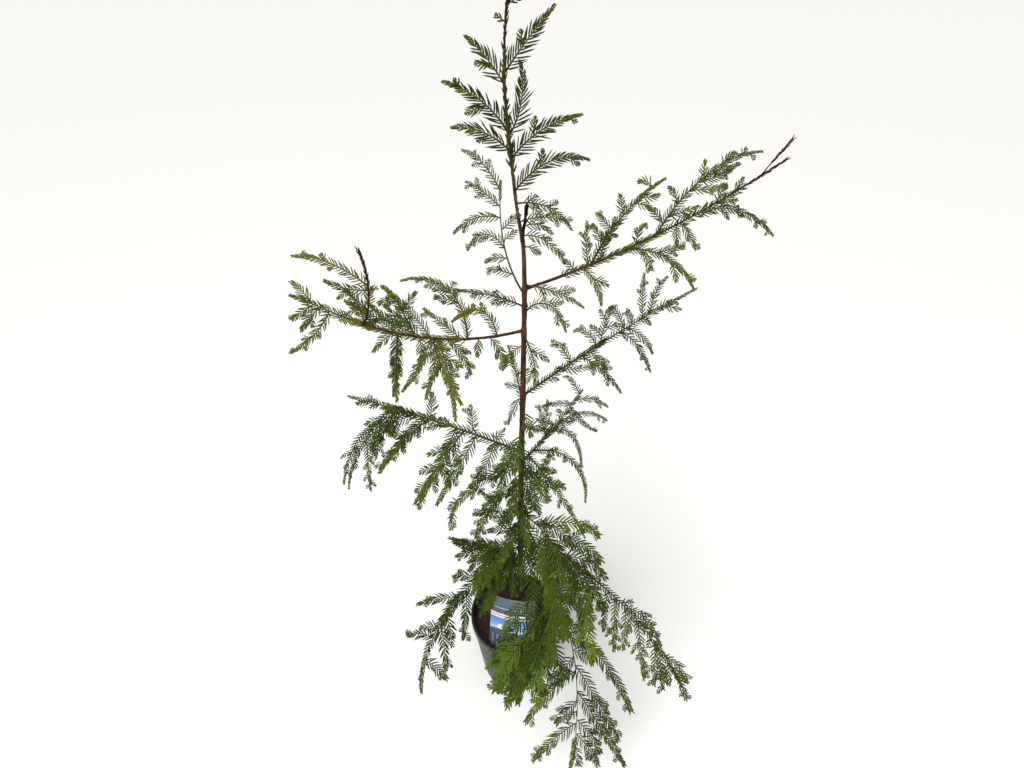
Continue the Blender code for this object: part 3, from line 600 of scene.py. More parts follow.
pot = dict(
    height=0.178, footRadius=0.0635, wallRadius=0.0805, lipRadius=0.083, lipHeight=0.014,
    wall=0.002, floor=0.0025, steps=112, lipRound=0.0012, footRound=0.0018, footFlat=0.012,
    ringDrop=0.030, ringDepth=0.0005, ringHalf=0.003, smoothAngle=38,
    # rings of points up the wall: lowest height and count below the moulded ring, then distances
    # above that ring and below the lip, and count
    lowRings=(0.006, 14), highRings=(0.008, 0.001, 4), innerRings=12,
    drains=8, drainWidth=0.013, drainHeight=0.009, drainSides=24,
)


def wallRadius(height):
    share = height / (pot["height"] - pot["lipHeight"])
    return pot["footRadius"] + (pot["wallRadius"] - pot["footRadius"]) * share


def arcPoints(centre, radius, first, last, count=5):
    # Points of a rounding in the profile's plane, angles in degrees
    turns = [math.radians(first + (last - first) * i / count) for i in range(count + 1)]
    return [(centre[0] + radius * math.cos(t), centre[1] + radius * math.sin(t)) for t in turns]


def spunSolid(profile, steps):
    # The profile's points, each a radius and a height, spun about Z
    bm = bmesh.new()
    verts = [bm.verts.new((r, 0.0, z)) for r, z in profile]
    edges = [bm.edges.new(pair) for pair in zip(verts, verts[1:])]
    bmesh.ops.spin(bm, geom=verts + edges, axis=(0, 0, 1), cent=(0, 0, 0), angle=2 * math.pi,
                   steps=steps, use_merge=True)
    bmesh.ops.remove_doubles(bm, verts=bm.verts, dist=mergeDistance)
    bmesh.ops.recalc_face_normals(bm, faces=bm.faces)
    return bm


def makePotPlastic():
    # Black nursery pot of thermoformed polypropylene: satin, with fine vertical flow marks,
    # paler scuffs and a film of dust and dried soil
    material, tree, shader = newMaterial("mouldedPolypropylene", 0.42)
    place = addNode(tree, "TexCoord", out="Object")
    marks = stretchedNoise(tree, place, (400, 400, 18), 3.0)  # flow marks 2.5 mm wide, down the wall
    dust = addNode(tree, "TexNoise", {"Vector": place, "Scale": 55.0, "Detail": 6.0, "Roughness": 0.65})
    body = addNode(tree, "ValToRGB", {"Fac": marks}, stops=((0.3, "#0f1114"), (0.7, "#1d2026")))
    film = addNode(tree, "MapRange", {"Value": dust, "From Min": 0.55, "From Max": 0.85, "To Max": 0.22})
    colour = addNode(tree, "Mix", {0: film, 6: body, 7: linearColour("#4a473f")}, data_type="RGBA", out=2)
    rough = addNode(tree, "MapRange", {
        "Value": dust, "From Min": 0.35, "From Max": 0.75, "To Min": 0.32, "To Max": 0.70})
    # leather grain of the mould, 0.8 mm
    grain = addNode(tree, "TexVoronoi", {"Vector": place, "Scale": 1250.0}, out="Distance")
    bump = addNode(tree, "Bump", {"Height": grain, "Strength": 0.12, "Distance": 0.0002})
    waves = addNode(tree, "Bump", {"Height": marks, "Strength": 0.25, "Distance": 0.0006, "Normal": bump})
    feedShader(tree, shader, {"Base Color": colour, "Roughness": rough, "Normal": waves})
    return material


def potProfile():
    # Underside, outer wall with its ring, rolled lip and inner wall down to the floor
    underLip, top = pot["height"] - pot["lipHeight"], pot["height"]
    lip, wall, turn, foot = pot["lipRadius"], pot["wall"], pot["lipRound"], pot["footRound"]
    ring, half = underLip - pot["ringDrop"], pot["ringHalf"]
    lowest, lowCount = pot["lowRings"]
    aboveRing, belowLip, highCount = pot["highRings"]
    profile = [(0.0, 0.0), (pot["footRadius"] - pot["footFlat"], 0.0)]
    profile += arcPoints((wallRadius(foot) - foot, foot), foot, -90, 0)
    profile += [(wallRadius(z), z) for z in np.linspace(lowest, ring - half, lowCount)]
    profile += [(wallRadius(ring) - pot["ringDepth"], ring), (wallRadius(ring + half), ring + half)]
    profile += [(wallRadius(z), z) for z in np.linspace(ring + aboveRing, underLip - belowLip, highCount)]
    profile += arcPoints((lip - turn, underLip + turn), turn, -90, 0)
    profile += arcPoints((lip - turn, top - turn), turn, 0, 90)
    profile += arcPoints((lip - wall - turn, top - turn), turn, 90, 180)
    profile += [(wallRadius(z) - wall, z) for z in np.linspace(underLip, pot["floor"], pot["innerRings"])]
    return profile + [(0.0, pot["floor"])]


def drainCutters():
    # Half-round plugs round the foot, cut out of the wall and the floor
    bm = bmesh.new()
    wall = pot["wall"]
    for i in range(pot["drains"]):
        arch = bmesh.ops.create_circle(bm, cap_ends=True, segments=pot["drainSides"], radius=1.0)["verts"]
        bmesh.ops.scale(bm, vec=(pot["drainHeight"], pot["drainWidth"] / 2, 1.0), verts=arch)
        lifted = bmesh.ops.extrude_face_region(bm, geom=arch[0].link_faces[:])["geom"]
        deep = [v for v in lifted if isinstance(v, bmesh.types.BMVert)]
        bmesh.ops.translate(bm, vec=(0, 0, wall * 6.0), verts=deep)
        place = Matrix.Rotation(2 * math.pi * (i + 0.5) / pot["drains"], 4, "Z")
        place = place @ Matrix.Translation((pot["footRadius"] - wall * 3.0, 0, 0))
        place = place @ Matrix.Rotation(math.pi / 2, 4, "Y")
        bmesh.ops.transform(bm, matrix=place, verts=arch + deep)
    bmesh.ops.recalc_face_normals(bm, faces=bm.faces)
    return newObject("drainCutter", meshFrom("drainCutter", bm))


def buildPot():
    blank = newObject("potBlank", meshFrom("potBlank", spunSolid(potProfile(), pot["steps"])))
    cutter = drainCutters()
    cut = blank.modifiers.new("drains", "BOOLEAN")
    cut.operation, cut.solver, cut.object = "DIFFERENCE", "EXACT", cutter
    shaped = bpy.data.meshes.new_from_object(blank.evaluated_get(bpy.context.evaluated_depsgraph_get()))
    for item in (blank, cutter):
        bpy.data.objects.remove(item)
    shaped.name = "nurseryPot"
    shaped.materials.clear()
    shaped.shade_smooth()
    shaped.set_sharp_from_angle(angle=math.radians(pot["smoothAngle"]))
    placePiece("nurseryPot", shaped, [makePotPlastic()], ["pot"])
    print("Pot:", len(shaped.polygons), "faces")


buildPot()

soil = dict(
    dome=0.004, rings=26, steps=90, smoothAngle=50, seed=5,
    lump=0.0016, lumpScale=160.0, fineScale=520.0, fineShare=0.5, rimFade=0.004,
    crumbs=520, crumbSize=(0.0016, 0.0052), crumbReach=0.95, crumbTilt=0.6,
    # crumbs are longer than wide and flattest upwards
    crumbShape=((0.7, 1.5), (0.6, 1.0), (0.35, 0.8)),
)


def makeSoilMix():
    # Peat and bark mix: moist and dark, matt with a few glossier wet crumbs and paler bark chips
    material, tree, shader = newMaterial("moistPottingMix", 0.9)
    place = addNode(tree, "TexCoord", out="Object")
    # crumbs of 3 mm and grit of 1.1 mm
    coarse = addNode(tree, "TexNoise", {"Vector": place, "Scale": 330.0, "Detail": 8.0, "Roughness": 0.7})
    grit = addNode(tree, "TexVoronoi", {"Vector": place, "Scale": 900.0}, out="Distance")
    colour = addNode(tree, "ValToRGB", {"Fac": coarse}, stops=(
        (0.32, "#120b07"), (0.5, "#2b1d13"), (0.66, "#4a3422"), (0.80, "#7a6148")))
    rough = addNode(tree, "MapRange", {"Value": coarse, "To Min": 0.55, "To Max": 1.0})
    high = addNode(tree, "Math", {0: coarse, 1: grit}, operation="SUBTRACT")
    bump = addNode(tree, "Bump", {"Height": high, "Strength": 0.9, "Distance": 0.0012})
    feedShader(tree, shader, {"Base Color": colour, "Roughness": rough, "Normal": bump})
    return material


def buildSoil():
    top, dome, wall = trunk["soilTop"], soil["dome"], pot["wall"]
    rim = wallRadius(top - dome) - wall - gap
    bottom = pot["floor"] + gap
    shares = [1.0 - i / soil["rings"] for i in range(soil["rings"] + 1)]
    profile = [(0.0, bottom), (wallRadius(bottom) - wall - gap, bottom)]
    bm = spunSolid(profile + [(rim * share, top - dome * share**2) for share in shares], soil["steps"])
    for vert in bm.verts:
        if vert.co.z > top - 2 * dome:
            lump = noise.fractal(vert.co * soil["lumpScale"], 0.9, 2.2, 4)
            lump += soil["fineShare"] * noise.noise(vert.co * soil["fineScale"])
            edge = (rim - math.hypot(vert.co.x, vert.co.y)) / soil["rimFade"]
            vert.co.z += lump * soil["lump"] * min(1.0, edge)
    rng = random.Random(soil["seed"])
    for i in range(soil["crumbs"]):
        turn, away = rng.uniform(0, 2 * math.pi), rim * soil["crumbReach"] * math.sqrt(rng.random())
        size = rng.uniform(*soil["crumbSize"]) * (0.6 + 0.4 * rng.random())
        spot = Vector((away * math.cos(turn), away * math.sin(turn), top - dome * (away / rim) ** 2))
        made = bmesh.ops.create_icosphere(bm, subdivisions=1, radius=size / 2)["verts"]
        bmesh.ops.scale(bm, vec=[rng.uniform(*limits) for limits in soil["crumbShape"]], verts=made)
        turned = Matrix.Rotation(rng.uniform(0, math.pi), 4, "Z")
        turned = turned @ Matrix.Rotation(rng.uniform(-soil["crumbTilt"], soil["crumbTilt"]), 4, "X")
        bmesh.ops.transform(bm, matrix=Matrix.Translation(spot) @ turned, verts=made)
    finishPiece("pottingMix", bm, [makeSoilMix()], ["potting_soil"], soil["smoothAngle"])
    print("Soil and its crumbs are made")


buildSoil()

tag = dict(
    width=0.080, height=0.122, buried=0.018, thickness=0.0010, bendRadius=0.095,
    heading=260.0, footRadius=0.064, lean=22.0, corner=0.006, columns=30, rows=44, smoothAngle=40,
)

# The card's design in shares of its width and height: plain bars at the foot, a panel with sky,
# sun and hills, and plain bands
design = dict(
    ground=((0.12, "#4c5262"), (0.45, "#3d4a5c"), (0.80, "#3c5066"), (1.0, "#566b80")),
    bars=9.0, barShare=0.62, barsTop=0.36, barCode="#8b90a0",
    panelSide=0.86, panel=(0.40, 0.66), horizon=0.44,
    sky=((0.0, "#cfe4f5"), (0.45, "#6aa9e8"), (1.0, "#2f7fd8")),
    sunPlace=(0.26, 0.50, 0.0), sunStretch=(1.0, 1.5, 1.0), sunSize=0.075, sunCode="#fbfbf2",
    hills=7.5, hillHeight=0.022, hillTop=0.445, hillCode="#33506a",
    # lowest and highest, left and right, colour
    bands=(
        (0.66, 0.735, -1.0, 2.0, "#f1f2f1"),
        (0.690, 0.705, 0.0, 0.55, "#c9836a"),
        (0.82, 0.832, 0.08, 0.75, "#c4d2dd"),
    ),
    wear=0.16, wearCode="#aab4bd",
)


def tagPoint(across, up, lift):
    turn = across / tag["bendRadius"]
    radius = tag["bendRadius"] + lift
    spot = Vector((radius * math.sin(turn), tag["bendRadius"] - radius * math.cos(turn), up))
    spot.rotate(Matrix.Rotation(math.radians(-tag["lean"]), 3, "X"))
    spot.y -= tag["footRadius"]
    spot.z += trunk["soilTop"]
    spot.rotate(Matrix.Rotation(math.radians(tag["heading"] - 270.0), 3, "Z"))
    return spot


def makeTagFront():
    # Printed waterproof polypropylene card: satin laminate over flat inks, with a plain scene of
    # sky and hills, slate-blue ground and bars, and no words
    material, tree, shader = newMaterial("laminatedCard", 0.32)
    uv = addNode(tree, "UVMap", uv_map="cardMap")
    parts = addNode(tree, "SeparateXYZ", {0: uv}, out=None)
    u, v = parts["X"], parts["Y"]

    def calc(operation, a, b=0.0):
        return addNode(tree, "Math", {0: a, 1: b}, operation=operation)

    def vectorCalc(operation, a, b=(0.0, 0.0, 0.0), out=0):
        return addNode(tree, "VectorMath", {0: a, 1: b}, operation=operation, out=out)

    def within(value, low, high):
        return calc("MULTIPLY", calc("GREATER_THAN", value, low), calc("LESS_THAN", value, high))

    def over(below, mask, above):
        above = linearColour(above) if isinstance(above, str) else above
        return addNode(tree, "Mix", {0: mask, 6: below, 7: above}, data_type="RGBA", out=2)

    ground = addNode(tree, "ValToRGB", {"Fac": v}, stops=design["ground"])
    bars = calc("GREATER_THAN", calc("FRACT", calc("MULTIPLY", u, design["bars"])), design["barShare"])
    colour = over(ground, calc("MULTIPLY", bars, within(v, 0.0, design["barsTop"])), design["barCode"])
    low, high = design["panel"]
    height = addNode(tree, "MapRange", {"Value": v, "From Min": design["horizon"], "From Max": high})
    sky = addNode(tree, "ValToRGB", {"Fac": height}, stops=design["sky"])
    panel = calc("MULTIPLY", within(u, 0.0, design["panelSide"]), within(v, low, high))
    colour = over(colour, panel, sky)
    fromSun = vectorCalc("SUBTRACT", uv, design["sunPlace"])
    fromSun = vectorCalc("MULTIPLY", fromSun, design["sunStretch"])
    sun = calc("LESS_THAN", vectorCalc("LENGTH", fromSun, out="Value"), design["sunSize"])
    colour = over(colour, calc("MULTIPLY", panel, sun), design["sunCode"])
    wave = calc("MULTIPLY", calc("SINE", calc("MULTIPLY", u, design["hills"])), design["hillHeight"])
    hills = calc("LESS_THAN", v, calc("ADD", wave, design["hillTop"]))
    colour = over(colour, calc("MULTIPLY", panel, hills), design["hillCode"])
    for lowest, highest, left, right, code in design["bands"]:
        colour = over(colour, calc("MULTIPLY", within(v, lowest, highest), within(u, left, right)), code)
    worn = addNode(tree, "TexNoise", {"Vector": uv, "Scale": 26.0, "Detail": 4.0})
    fade = addNode(tree, "MapRange", {"Value": worn, "To Min": 0.0, "To Max": design["wear"]})
    colour = over(colour, fade, design["wearCode"])
    rough = addNode(tree, "MapRange", {"Value": worn, "To Min": 0.22, "To Max": 0.45})
    feedShader(tree, shader, {"Base Color": colour, "Roughness": rough})
    return material


def makeTagBack():
    # Unprinted back of the card: off-white, satin, with faint soil stains
    material, tree, shader = newMaterial("plainCardBack", 0.4)
    place = addNode(tree, "TexCoord", out="Object")
    stain = addNode(tree, "TexNoise", {"Vector": place, "Scale": 60.0, "Detail": 5.0})
    pale = addNode(tree, "ValToRGB", {"Fac": stain}, stops=((0.35, "#a9a79d"), (0.7, "#d9dad6")))
    feedShader(tree, shader, {"Base Color": pale})
    return material


def roundedCorner(x, y):
    # Points past the start of a corner's rounding are drawn in onto it
    flatX, flatY = tag["width"] / 2 - tag["corner"], tag["height"] / 2 - tag["corner"]
    inX, inY = abs(x) - flatX, abs(y) - flatY
    if inX <= 0 or inY <= 0:
        return x, y
    pull = max(inX, inY) / math.hypot(inX, inY)
    return math.copysign(flatX + inX * pull, x), math.copysign(flatY + inY * pull, y)


def buildTag():
    bm = bmesh.new()
    bmesh.ops.create_grid(bm, x_segments=tag["columns"], y_segments=tag["rows"], size=0.5)
    for vert in bm.verts:
        vert.co = (*roundedCorner(vert.co.x * tag["width"], vert.co.y * tag["height"]), 0.0)
    bmesh.ops.solidify(bm, geom=bm.faces[:], thickness=tag["thickness"])
    middle = (min(v.co.z for v in bm.verts) + max(v.co.z for v in bm.verts)) / 2
    layer = bm.loops.layers.uv.new("cardMap")
    for face in bm.faces:
        front = sum(v.co.z - middle for v in face.verts) / len(face.verts) > tag["thickness"] * 0.3
        face.material_index = 0 if front else 1
        for loop in face.loops:
            co = loop.vert.co
            loop[layer].uv = (co.x / tag["width"] + 0.5, co.y / tag["height"] + 0.5)
    for vert in bm.verts:
        vert.co = tagPoint(vert.co.x, vert.co.y + tag["height"] / 2 - tag["buried"], vert.co.z - middle)
    faces = [makeTagFront(), makeTagBack()]
    finishPiece("pictureTag", bm, faces, ["picture_tag"], tag["smoothAngle"])
    print("Tag is made")


buildTag()


# Trunk, dead stub and boughs, each a grid wrapped round its curve


barkRelief = dict(
    # strands and flakes to the metre, round the limb and along it
    strands=(900, 75), strandDepth=0.8, flakes=(320, 160), flakeShift=(3.1, 7.7, 1.3), flakeDepth=0.7,
    knotReach=1.6, knotRound=(0.35, 0.65), lobeDepth=0.10, lobeTurn=0.7, lobeHeight=0.008,
    fewestRings=8, smoothAngle=60,
)


def barkSwell(radius, turn, along, ridgeDepth, knots, lobes):
    # How much the bark stands out or in at a spot, as a share of the radius
    look = barkRelief
    x, y = math.cos(turn) * radius, math.sin(turn) * radius
    across, down = look["strands"]
    ridges = noise.fractal(Vector((x * across, y * across, along * down)), 0.8, 2.1, 3)
    across, down = look["flakes"]
    flakes = noise.noise(Vector((x * across, y * across, along * down)) + Vector(look["flakeShift"]))
    swell = 1.0 + ridgeDepth * (ridges * look["strandDepth"] + flakes * look["flakeDepth"])
    least, more = look["knotRound"]
    for place, heading, size in knots:
        near = math.exp(-((along - place) / (radius * look["knotReach"])) ** 2)
        if near > 0.01:
            swell += near * size * (least + more * max(0.0, math.cos(turn - heading)))
    if lobes:
        flare = look["lobeDepth"] * math.cos(turn * lobes + look["lobeTurn"])
        swell += flare * math.exp(-along / look["lobeHeight"])
    return swell


def wrapLimb(name, curve, radii, sides, step, ridgeDepth, knots, finish, nodes, lobes=0):
    # Bark from a grid wrapped round the curve and closed to a point at both ends
    length = curveLength(curve)
    rings = max(barkRelief["fewestRings"], round(length / step))
    shares = np.arange(rings + 1) / rings
    frames = framesAt(curve, shares)
    spread = np.interp(shares, np.linspace(0, 1, len(radii)), radii)
    bm = bmesh.new()
    bmesh.ops.create_grid(bm, x_segments=sides, y_segments=rings, size=0.5)
    flow = bm.verts.layers.float_vector.new("barkFlow")
    for vert in bm.verts:
        turn = 2 * math.pi * (vert.co.x + 0.5)
        k = min(rings, max(0, round((vert.co.y + 0.5) * rings)))
        along, radius = length * k / rings, spread[k]
        c, s = math.cos(turn), math.sin(turn)
        point, _, side, normal = frames[min(max(k, 1), rings - 1)]
        if k == rings:
            point = frames[rings][0]
        swell = barkSwell(radius, turn, along, ridgeDepth, knots, lobes) if 0 < k < rings else 0.0
        vert.co = point + (side * c + normal * s) * (radius * swell)
        vert[flow] = (c * radius, s * radius, along)
    bmesh.ops.remove_doubles(bm, verts=bm.verts, dist=mergeDistance)
    bmesh.ops.dissolve_degenerate(bm, edges=bm.edges, dist=mergeDistance / 10)
    finishPiece(name, bm, [materials[finish]], nodes, barkRelief["smoothAngle"])


def buildTrunk():
    top = trunk["soilTop"] + trunk["stations"][-1][0]
    foot = trunk["soilTop"] + trunk["foot"]
    heights = np.linspace(foot, top, trunk["curveSteps"])
    centres = [trunkFrame(max(h, trunk["soilTop"])) for h in heights]
    curve, radii = [], []
    for k, (h, (centre, radius)) in enumerate(zip(heights, centres)):
        after = centres[min(k + 1, len(centres) - 1)][0]
        before = centres[max(k - 1, 0)][0]
        ahead = unit(after - before) if k else upward
        side = unit(np.cross(np.array((0.0, 1.0, 0.0)), ahead))
        curve.append((np.array((centre[0], centre[1], h)), ahead, side, np.cross(ahead, side)))
        radii.append(radius * np.interp(h, trunk["barkHeights"], trunk["barkShares"]))
    collar = trunk["collarSwell"]
    knots = [(b["at"] - foot, math.radians(b["heading"]), collar) for b in boughs.values()]
    knots += [
        (at - foot, math.radians(heading), collar * trunk["shootCollar"])
        for on, at, heading, *_ in masses.values() if on == "trunk" and at < top - trunk["leastOfTip"]
    ]
    knots.append((stub["at"] - foot, math.radians(stub["heading"]), trunk["stubCollar"]))
    wrapLimb("trunkBark", np.array(curve), radii, trunk["sides"], trunk["ringStep"],
             trunk["ridgeDepth"], knots, "bark", ["trunk"], trunk["flareLobes"])


def buildStub():
    start, rise, length = trunkFrame(stub["at"])[0], stub["rise"], stub["length"]
    curve = limbCurve(start, stub["heading"], rise, rise, 0.0, length, stub["steps"])
    knots = [(length * share, math.radians(turn), size) for share, turn, size in stub["splinters"]]
    radii = [radius * left for radius, left in zip(stub["radii"], stub["dried"])]
    wrapLimb("deadStub", curve, radii, stub["sides"], stub["ringStep"], stub["ridgeDepth"], knots,
             "deadWood", ["dead_leader_stub"])


buildTrunk()
buildStub()

# how thick each bough looks, its bark, how far along it needles and fill twigs start, and
# the longest of those twigs
boughLooks = {
    "right_upper": dict(radii=(0.0019, 0.0012), skin="bark", needles=0.27, fill=0.30, longest=0.034),
    "left_upper": dict(radii=(0.0018, 0.0011), skin="bark", needles=0.36, fill=0.16, longest=0.042),
    "right_middle": dict(radii=(0.0017, 0.0011), skin="youngBark", needles=0.06, fill=0.14, longest=0.036),
    "right_lower": dict(radii=(0.0017, 0.0011), skin="youngBark", needles=0.10, fill=0.20, longest=0.034),
    "left_middle": dict(radii=(0.0017, 0.0011), skin="youngBark", needles=0.05, fill=0.10, longest=0.044),
    "low_right": dict(radii=(0.0019, 0.0013), skin="youngBark", needles=0.08, fill=0.12, longest=0.050),
    "low_front": dict(radii=(0.0019, 0.0013), skin="youngBark", needles=0.08, fill=0.12, longest=0.050),
}
# the same for all boughs: the grid of the bark, a collar at the root and the swelling at each stem
boughBark = dict(
    curveSteps=40, sides=18, ringStep=0.0018, ridgeDepth=0.075, collar=(0.004, 0.0, 0.45), stemSwell=0.38,
)


def limbOf(name, steps=boughBark["curveSteps"]):
    bough = boughs[name]
    return partOfCurve(boughCurve(name), 0.0, bough["limb"] / bough["reach"], steps)


def buildBough(name):
    looks, shape = boughLooks[name], boughBark
    knots = [shape["collar"]]
    for k, (on, at, *_) in enumerate(masses.values()):
        if on == name and at < boughs[name]["limb"]:
            knots.append((at, math.pi * k, shape["stemSwell"]))
    title = "bough" + "".join(part.capitalize() for part in name.split("_"))
    wrapLimb(title, limbOf(name), looks["radii"], shape["sides"], shape["ringStep"], shape["ridgeDepth"],
             knots, looks["skin"], ["bough_" + name])


for name in boughs:
    buildBough(name)
print("Trunk, stub and boughs have their bark")


# Foliage: the source's sprays, then finer twigs, twiglets and needles

needle = dict(
    # shares of the length, and of the width there
    outline=((0.0, 0.35), (0.20, 1.0), (0.72, 0.86), (1.0, 0.0)), fold=0.22,
    twistSpread=0.24, lift=0.05, liftSpread=0.10, angleSpread=6.0, forward=0.16, droop=0.08,
    lengths=(0.80, 1.14), widths=(0.88, 1.12), spacings=(0.9, 1.1), closing=0.40, clearance=0.001,
    # no longer than this share of the spray's own length, and a little more
    ofSpray=(0.30, 0.0025),
    # shares of the region's length, spacing and width on a twiglet
    twigletLength=0.60, twigletPitch=0.80, twigletWidth=0.85,
    # length along a spray: places, length there, and how the region's taper counts near its tip
    places=(0.0, 0.10, 0.45, 0.80, 1.0), lengthThere=(0.60, 1.0, 0.95), nearTip=(0.30, 0.62),
    atTip=0.72, onLimb=0.85, seat=0.6,
    # where the tip's shade starts and how fast it comes in, and where the foot's deep green, partly painted
    # shade near the stem, ends
    tipFrom=0.50, tipGain=2.6, shadedFootUntil=0.45,
)

# masses, needle length and width, spacing of needles on one side, their angle at the foot and tip
# of a spray, spacing and share of the fill twigs, share of twiglets, how long the rule's twigs
# show, how small the needles get at a tip, the longest twiglet, the foot of a spray on the trunk
# that is bare, how much the tips take another shade, and the shades with their weights
regions = {
    "leader": dict(
        masses=("leader_tip", "leader_left_1", "leader_left_2", "leader_left_3", "leader_right_1",
                "leader_right_2", "leader_right_3", "leader_right_4"),
        length=0.0150, width=0.0016, pitch=0.0037, angles=(44, 22), spacing=0.0135, fill=0.05,
        twiglets=0.22, ruled=0.55, taper=0.16, twigletLongest=0.010, bareFoot=0.003, tips=0.65,
        shades=dict(needleGreen=3, needleDeep=4, needleSage=3),
        tipShades=dict(needleOlive=4, needleSage=2, needleBronze=0.2)),
    "upperShoots": dict(
        masses=("upright_shoot", "right_small", "right_near", "right_arch", "front_hanging",
                "left_inner", "back_upper"),
        length=0.0088, width=0.0014, pitch=0.0038, angles=(50, 28), spacing=0.0120, fill=0.25,
        twiglets=0.60, ruled=0.80, taper=0.32, twigletLongest=0.014, bareFoot=0.010, tips=0.40,
        shades=dict(needleSage=4, needleGreen=4, needleDeep=2),
        tipShades=dict(needleFresh=2, needleSage=2, needleOlive=1)),
    "rightUpper": dict(
        masses=("right_upper_near", "right_upper_back", "right_upper_low", "right_upper_long",
                "right_upper_tip"),
        length=0.0088, width=0.0015, pitch=0.0036, angles=(45, 25), spacing=0.0105, fill=0.22,
        twiglets=0.62, ruled=0.70, taper=0.38, twigletLongest=0.014, bareFoot=0.010, tips=0.60,
        shades=dict(needleGreen=5, needleOlive=2, needleSage=3, needleDeep=1),
        tipShades=dict(needleOlive=4, needleBronze=1, needleFresh=2)),
    "leftUpper": dict(
        masses=("left_upper_back", "left_upper_hanging", "left_upper_middle", "left_upper_drop",
                "left_upper_rise", "left_upper_tip"),
        length=0.0098, width=0.0016, pitch=0.0037, angles=(47, 26), spacing=0.0105, fill=0.20,
        twiglets=0.48, ruled=0.85, taper=0.38, twigletLongest=0.016, bareFoot=0.010, tips=0.50,
        shades=dict(needleGreen=6, needleOlive=4, needleSage=2, needleDeep=1),
        tipShades=dict(needleOlive=4, needleBronze=0.3, needleFresh=5)),
    "rightMiddle": dict(
        masses=("right_middle_low", "right_middle_back", "right_middle_tip", "right_lower_arch",
                "right_lower_bow", "right_lower_down", "right_lower_tip"),
        length=0.0088, width=0.0018, pitch=0.0044, angles=(50, 28), spacing=0.0125, fill=0.10,
        twiglets=0.44, ruled=0.60, taper=0.36, twigletLongest=0.014, bareFoot=0.010, tips=0.40,
        shades=dict(needleSage=3, needleGreen=4, needleDeep=3),
        tipShades=dict(needleFresh=2, needleGreen=2, needleOlive=1)),
    "leftMiddle": dict(
        masses=("left_middle_frond", "left_middle_drop", "left_middle_inner", "left_middle_outer",
                "left_middle_tip", "left_drooping"),
        length=0.0130, width=0.0020, pitch=0.0048, angles=(52, 29), spacing=0.0110, fill=0.28,
        twiglets=0.55, ruled=0.80, taper=0.42, twigletLongest=0.020, bareFoot=0.010, tips=0.35,
        shades=dict(needleSage=1, needleGreen=5, needleDeep=4),
        tipShades=dict(needleFresh=1, needleBright=1, needleGreen=3)),
    # mostly the deep green here: partly painted shade of this low, crowded part, partly its darker needles
    "lowLeft": dict(
        masses=("left_short", "left_low", "back_left"),
        length=0.0136, width=0.0024, pitch=0.0052, angles=(52, 29), spacing=0.0110, fill=0.40,
        twiglets=0.50, ruled=0.90, taper=0.42, twigletLongest=0.020, bareFoot=0.010, tips=0.35,
        shades=dict(needleGreen=2, needleDeep=8),
        tipShades=dict(needleBright=1, needleGreen=3)),
    "lowFront": dict(
        masses=("front_right", "front_middle", "front_low", "back_right"),
        length=0.0160, width=0.0024, pitch=0.0056, angles=(54, 29), spacing=0.0130, fill=0.45,
        twiglets=0.60, ruled=1.00, taper=0.60, twigletLongest=0.026, bareFoot=0.010, tips=0.50,
        shades=dict(needleGreen=5, needleBright=2, needleDeep=6),
        tipShades=dict(needleBright=4, needleFresh=1, needleGreen=3)),
    "lowHanging": dict(
        masses=("low_right_tip", "low_front_tip"),
        length=0.0140, width=0.0022, pitch=0.0053, angles=(52, 28), spacing=0.0115, fill=0.12,
        twiglets=0.72, ruled=0.55, taper=0.58, twigletLongest=0.022, bareFoot=0.010, tips=0.40,
        shades=dict(needleGreen=5, needleDeep=5, needleBright=1),
        tipShades=dict(needleBright=2, needleGreen=2, needleFresh=1)),
}
shadeNames = list(needleShades)
regionOf = {mass: region for region, row in regions.items() for mass in row["masses"]}
boughRegions = dict(
    right_upper="rightUpper", left_upper="leftUpper", right_middle="rightMiddle", right_lower="rightMiddle",
    left_middle="leftMiddle", low_right="lowHanging", low_front="lowHanging",
)

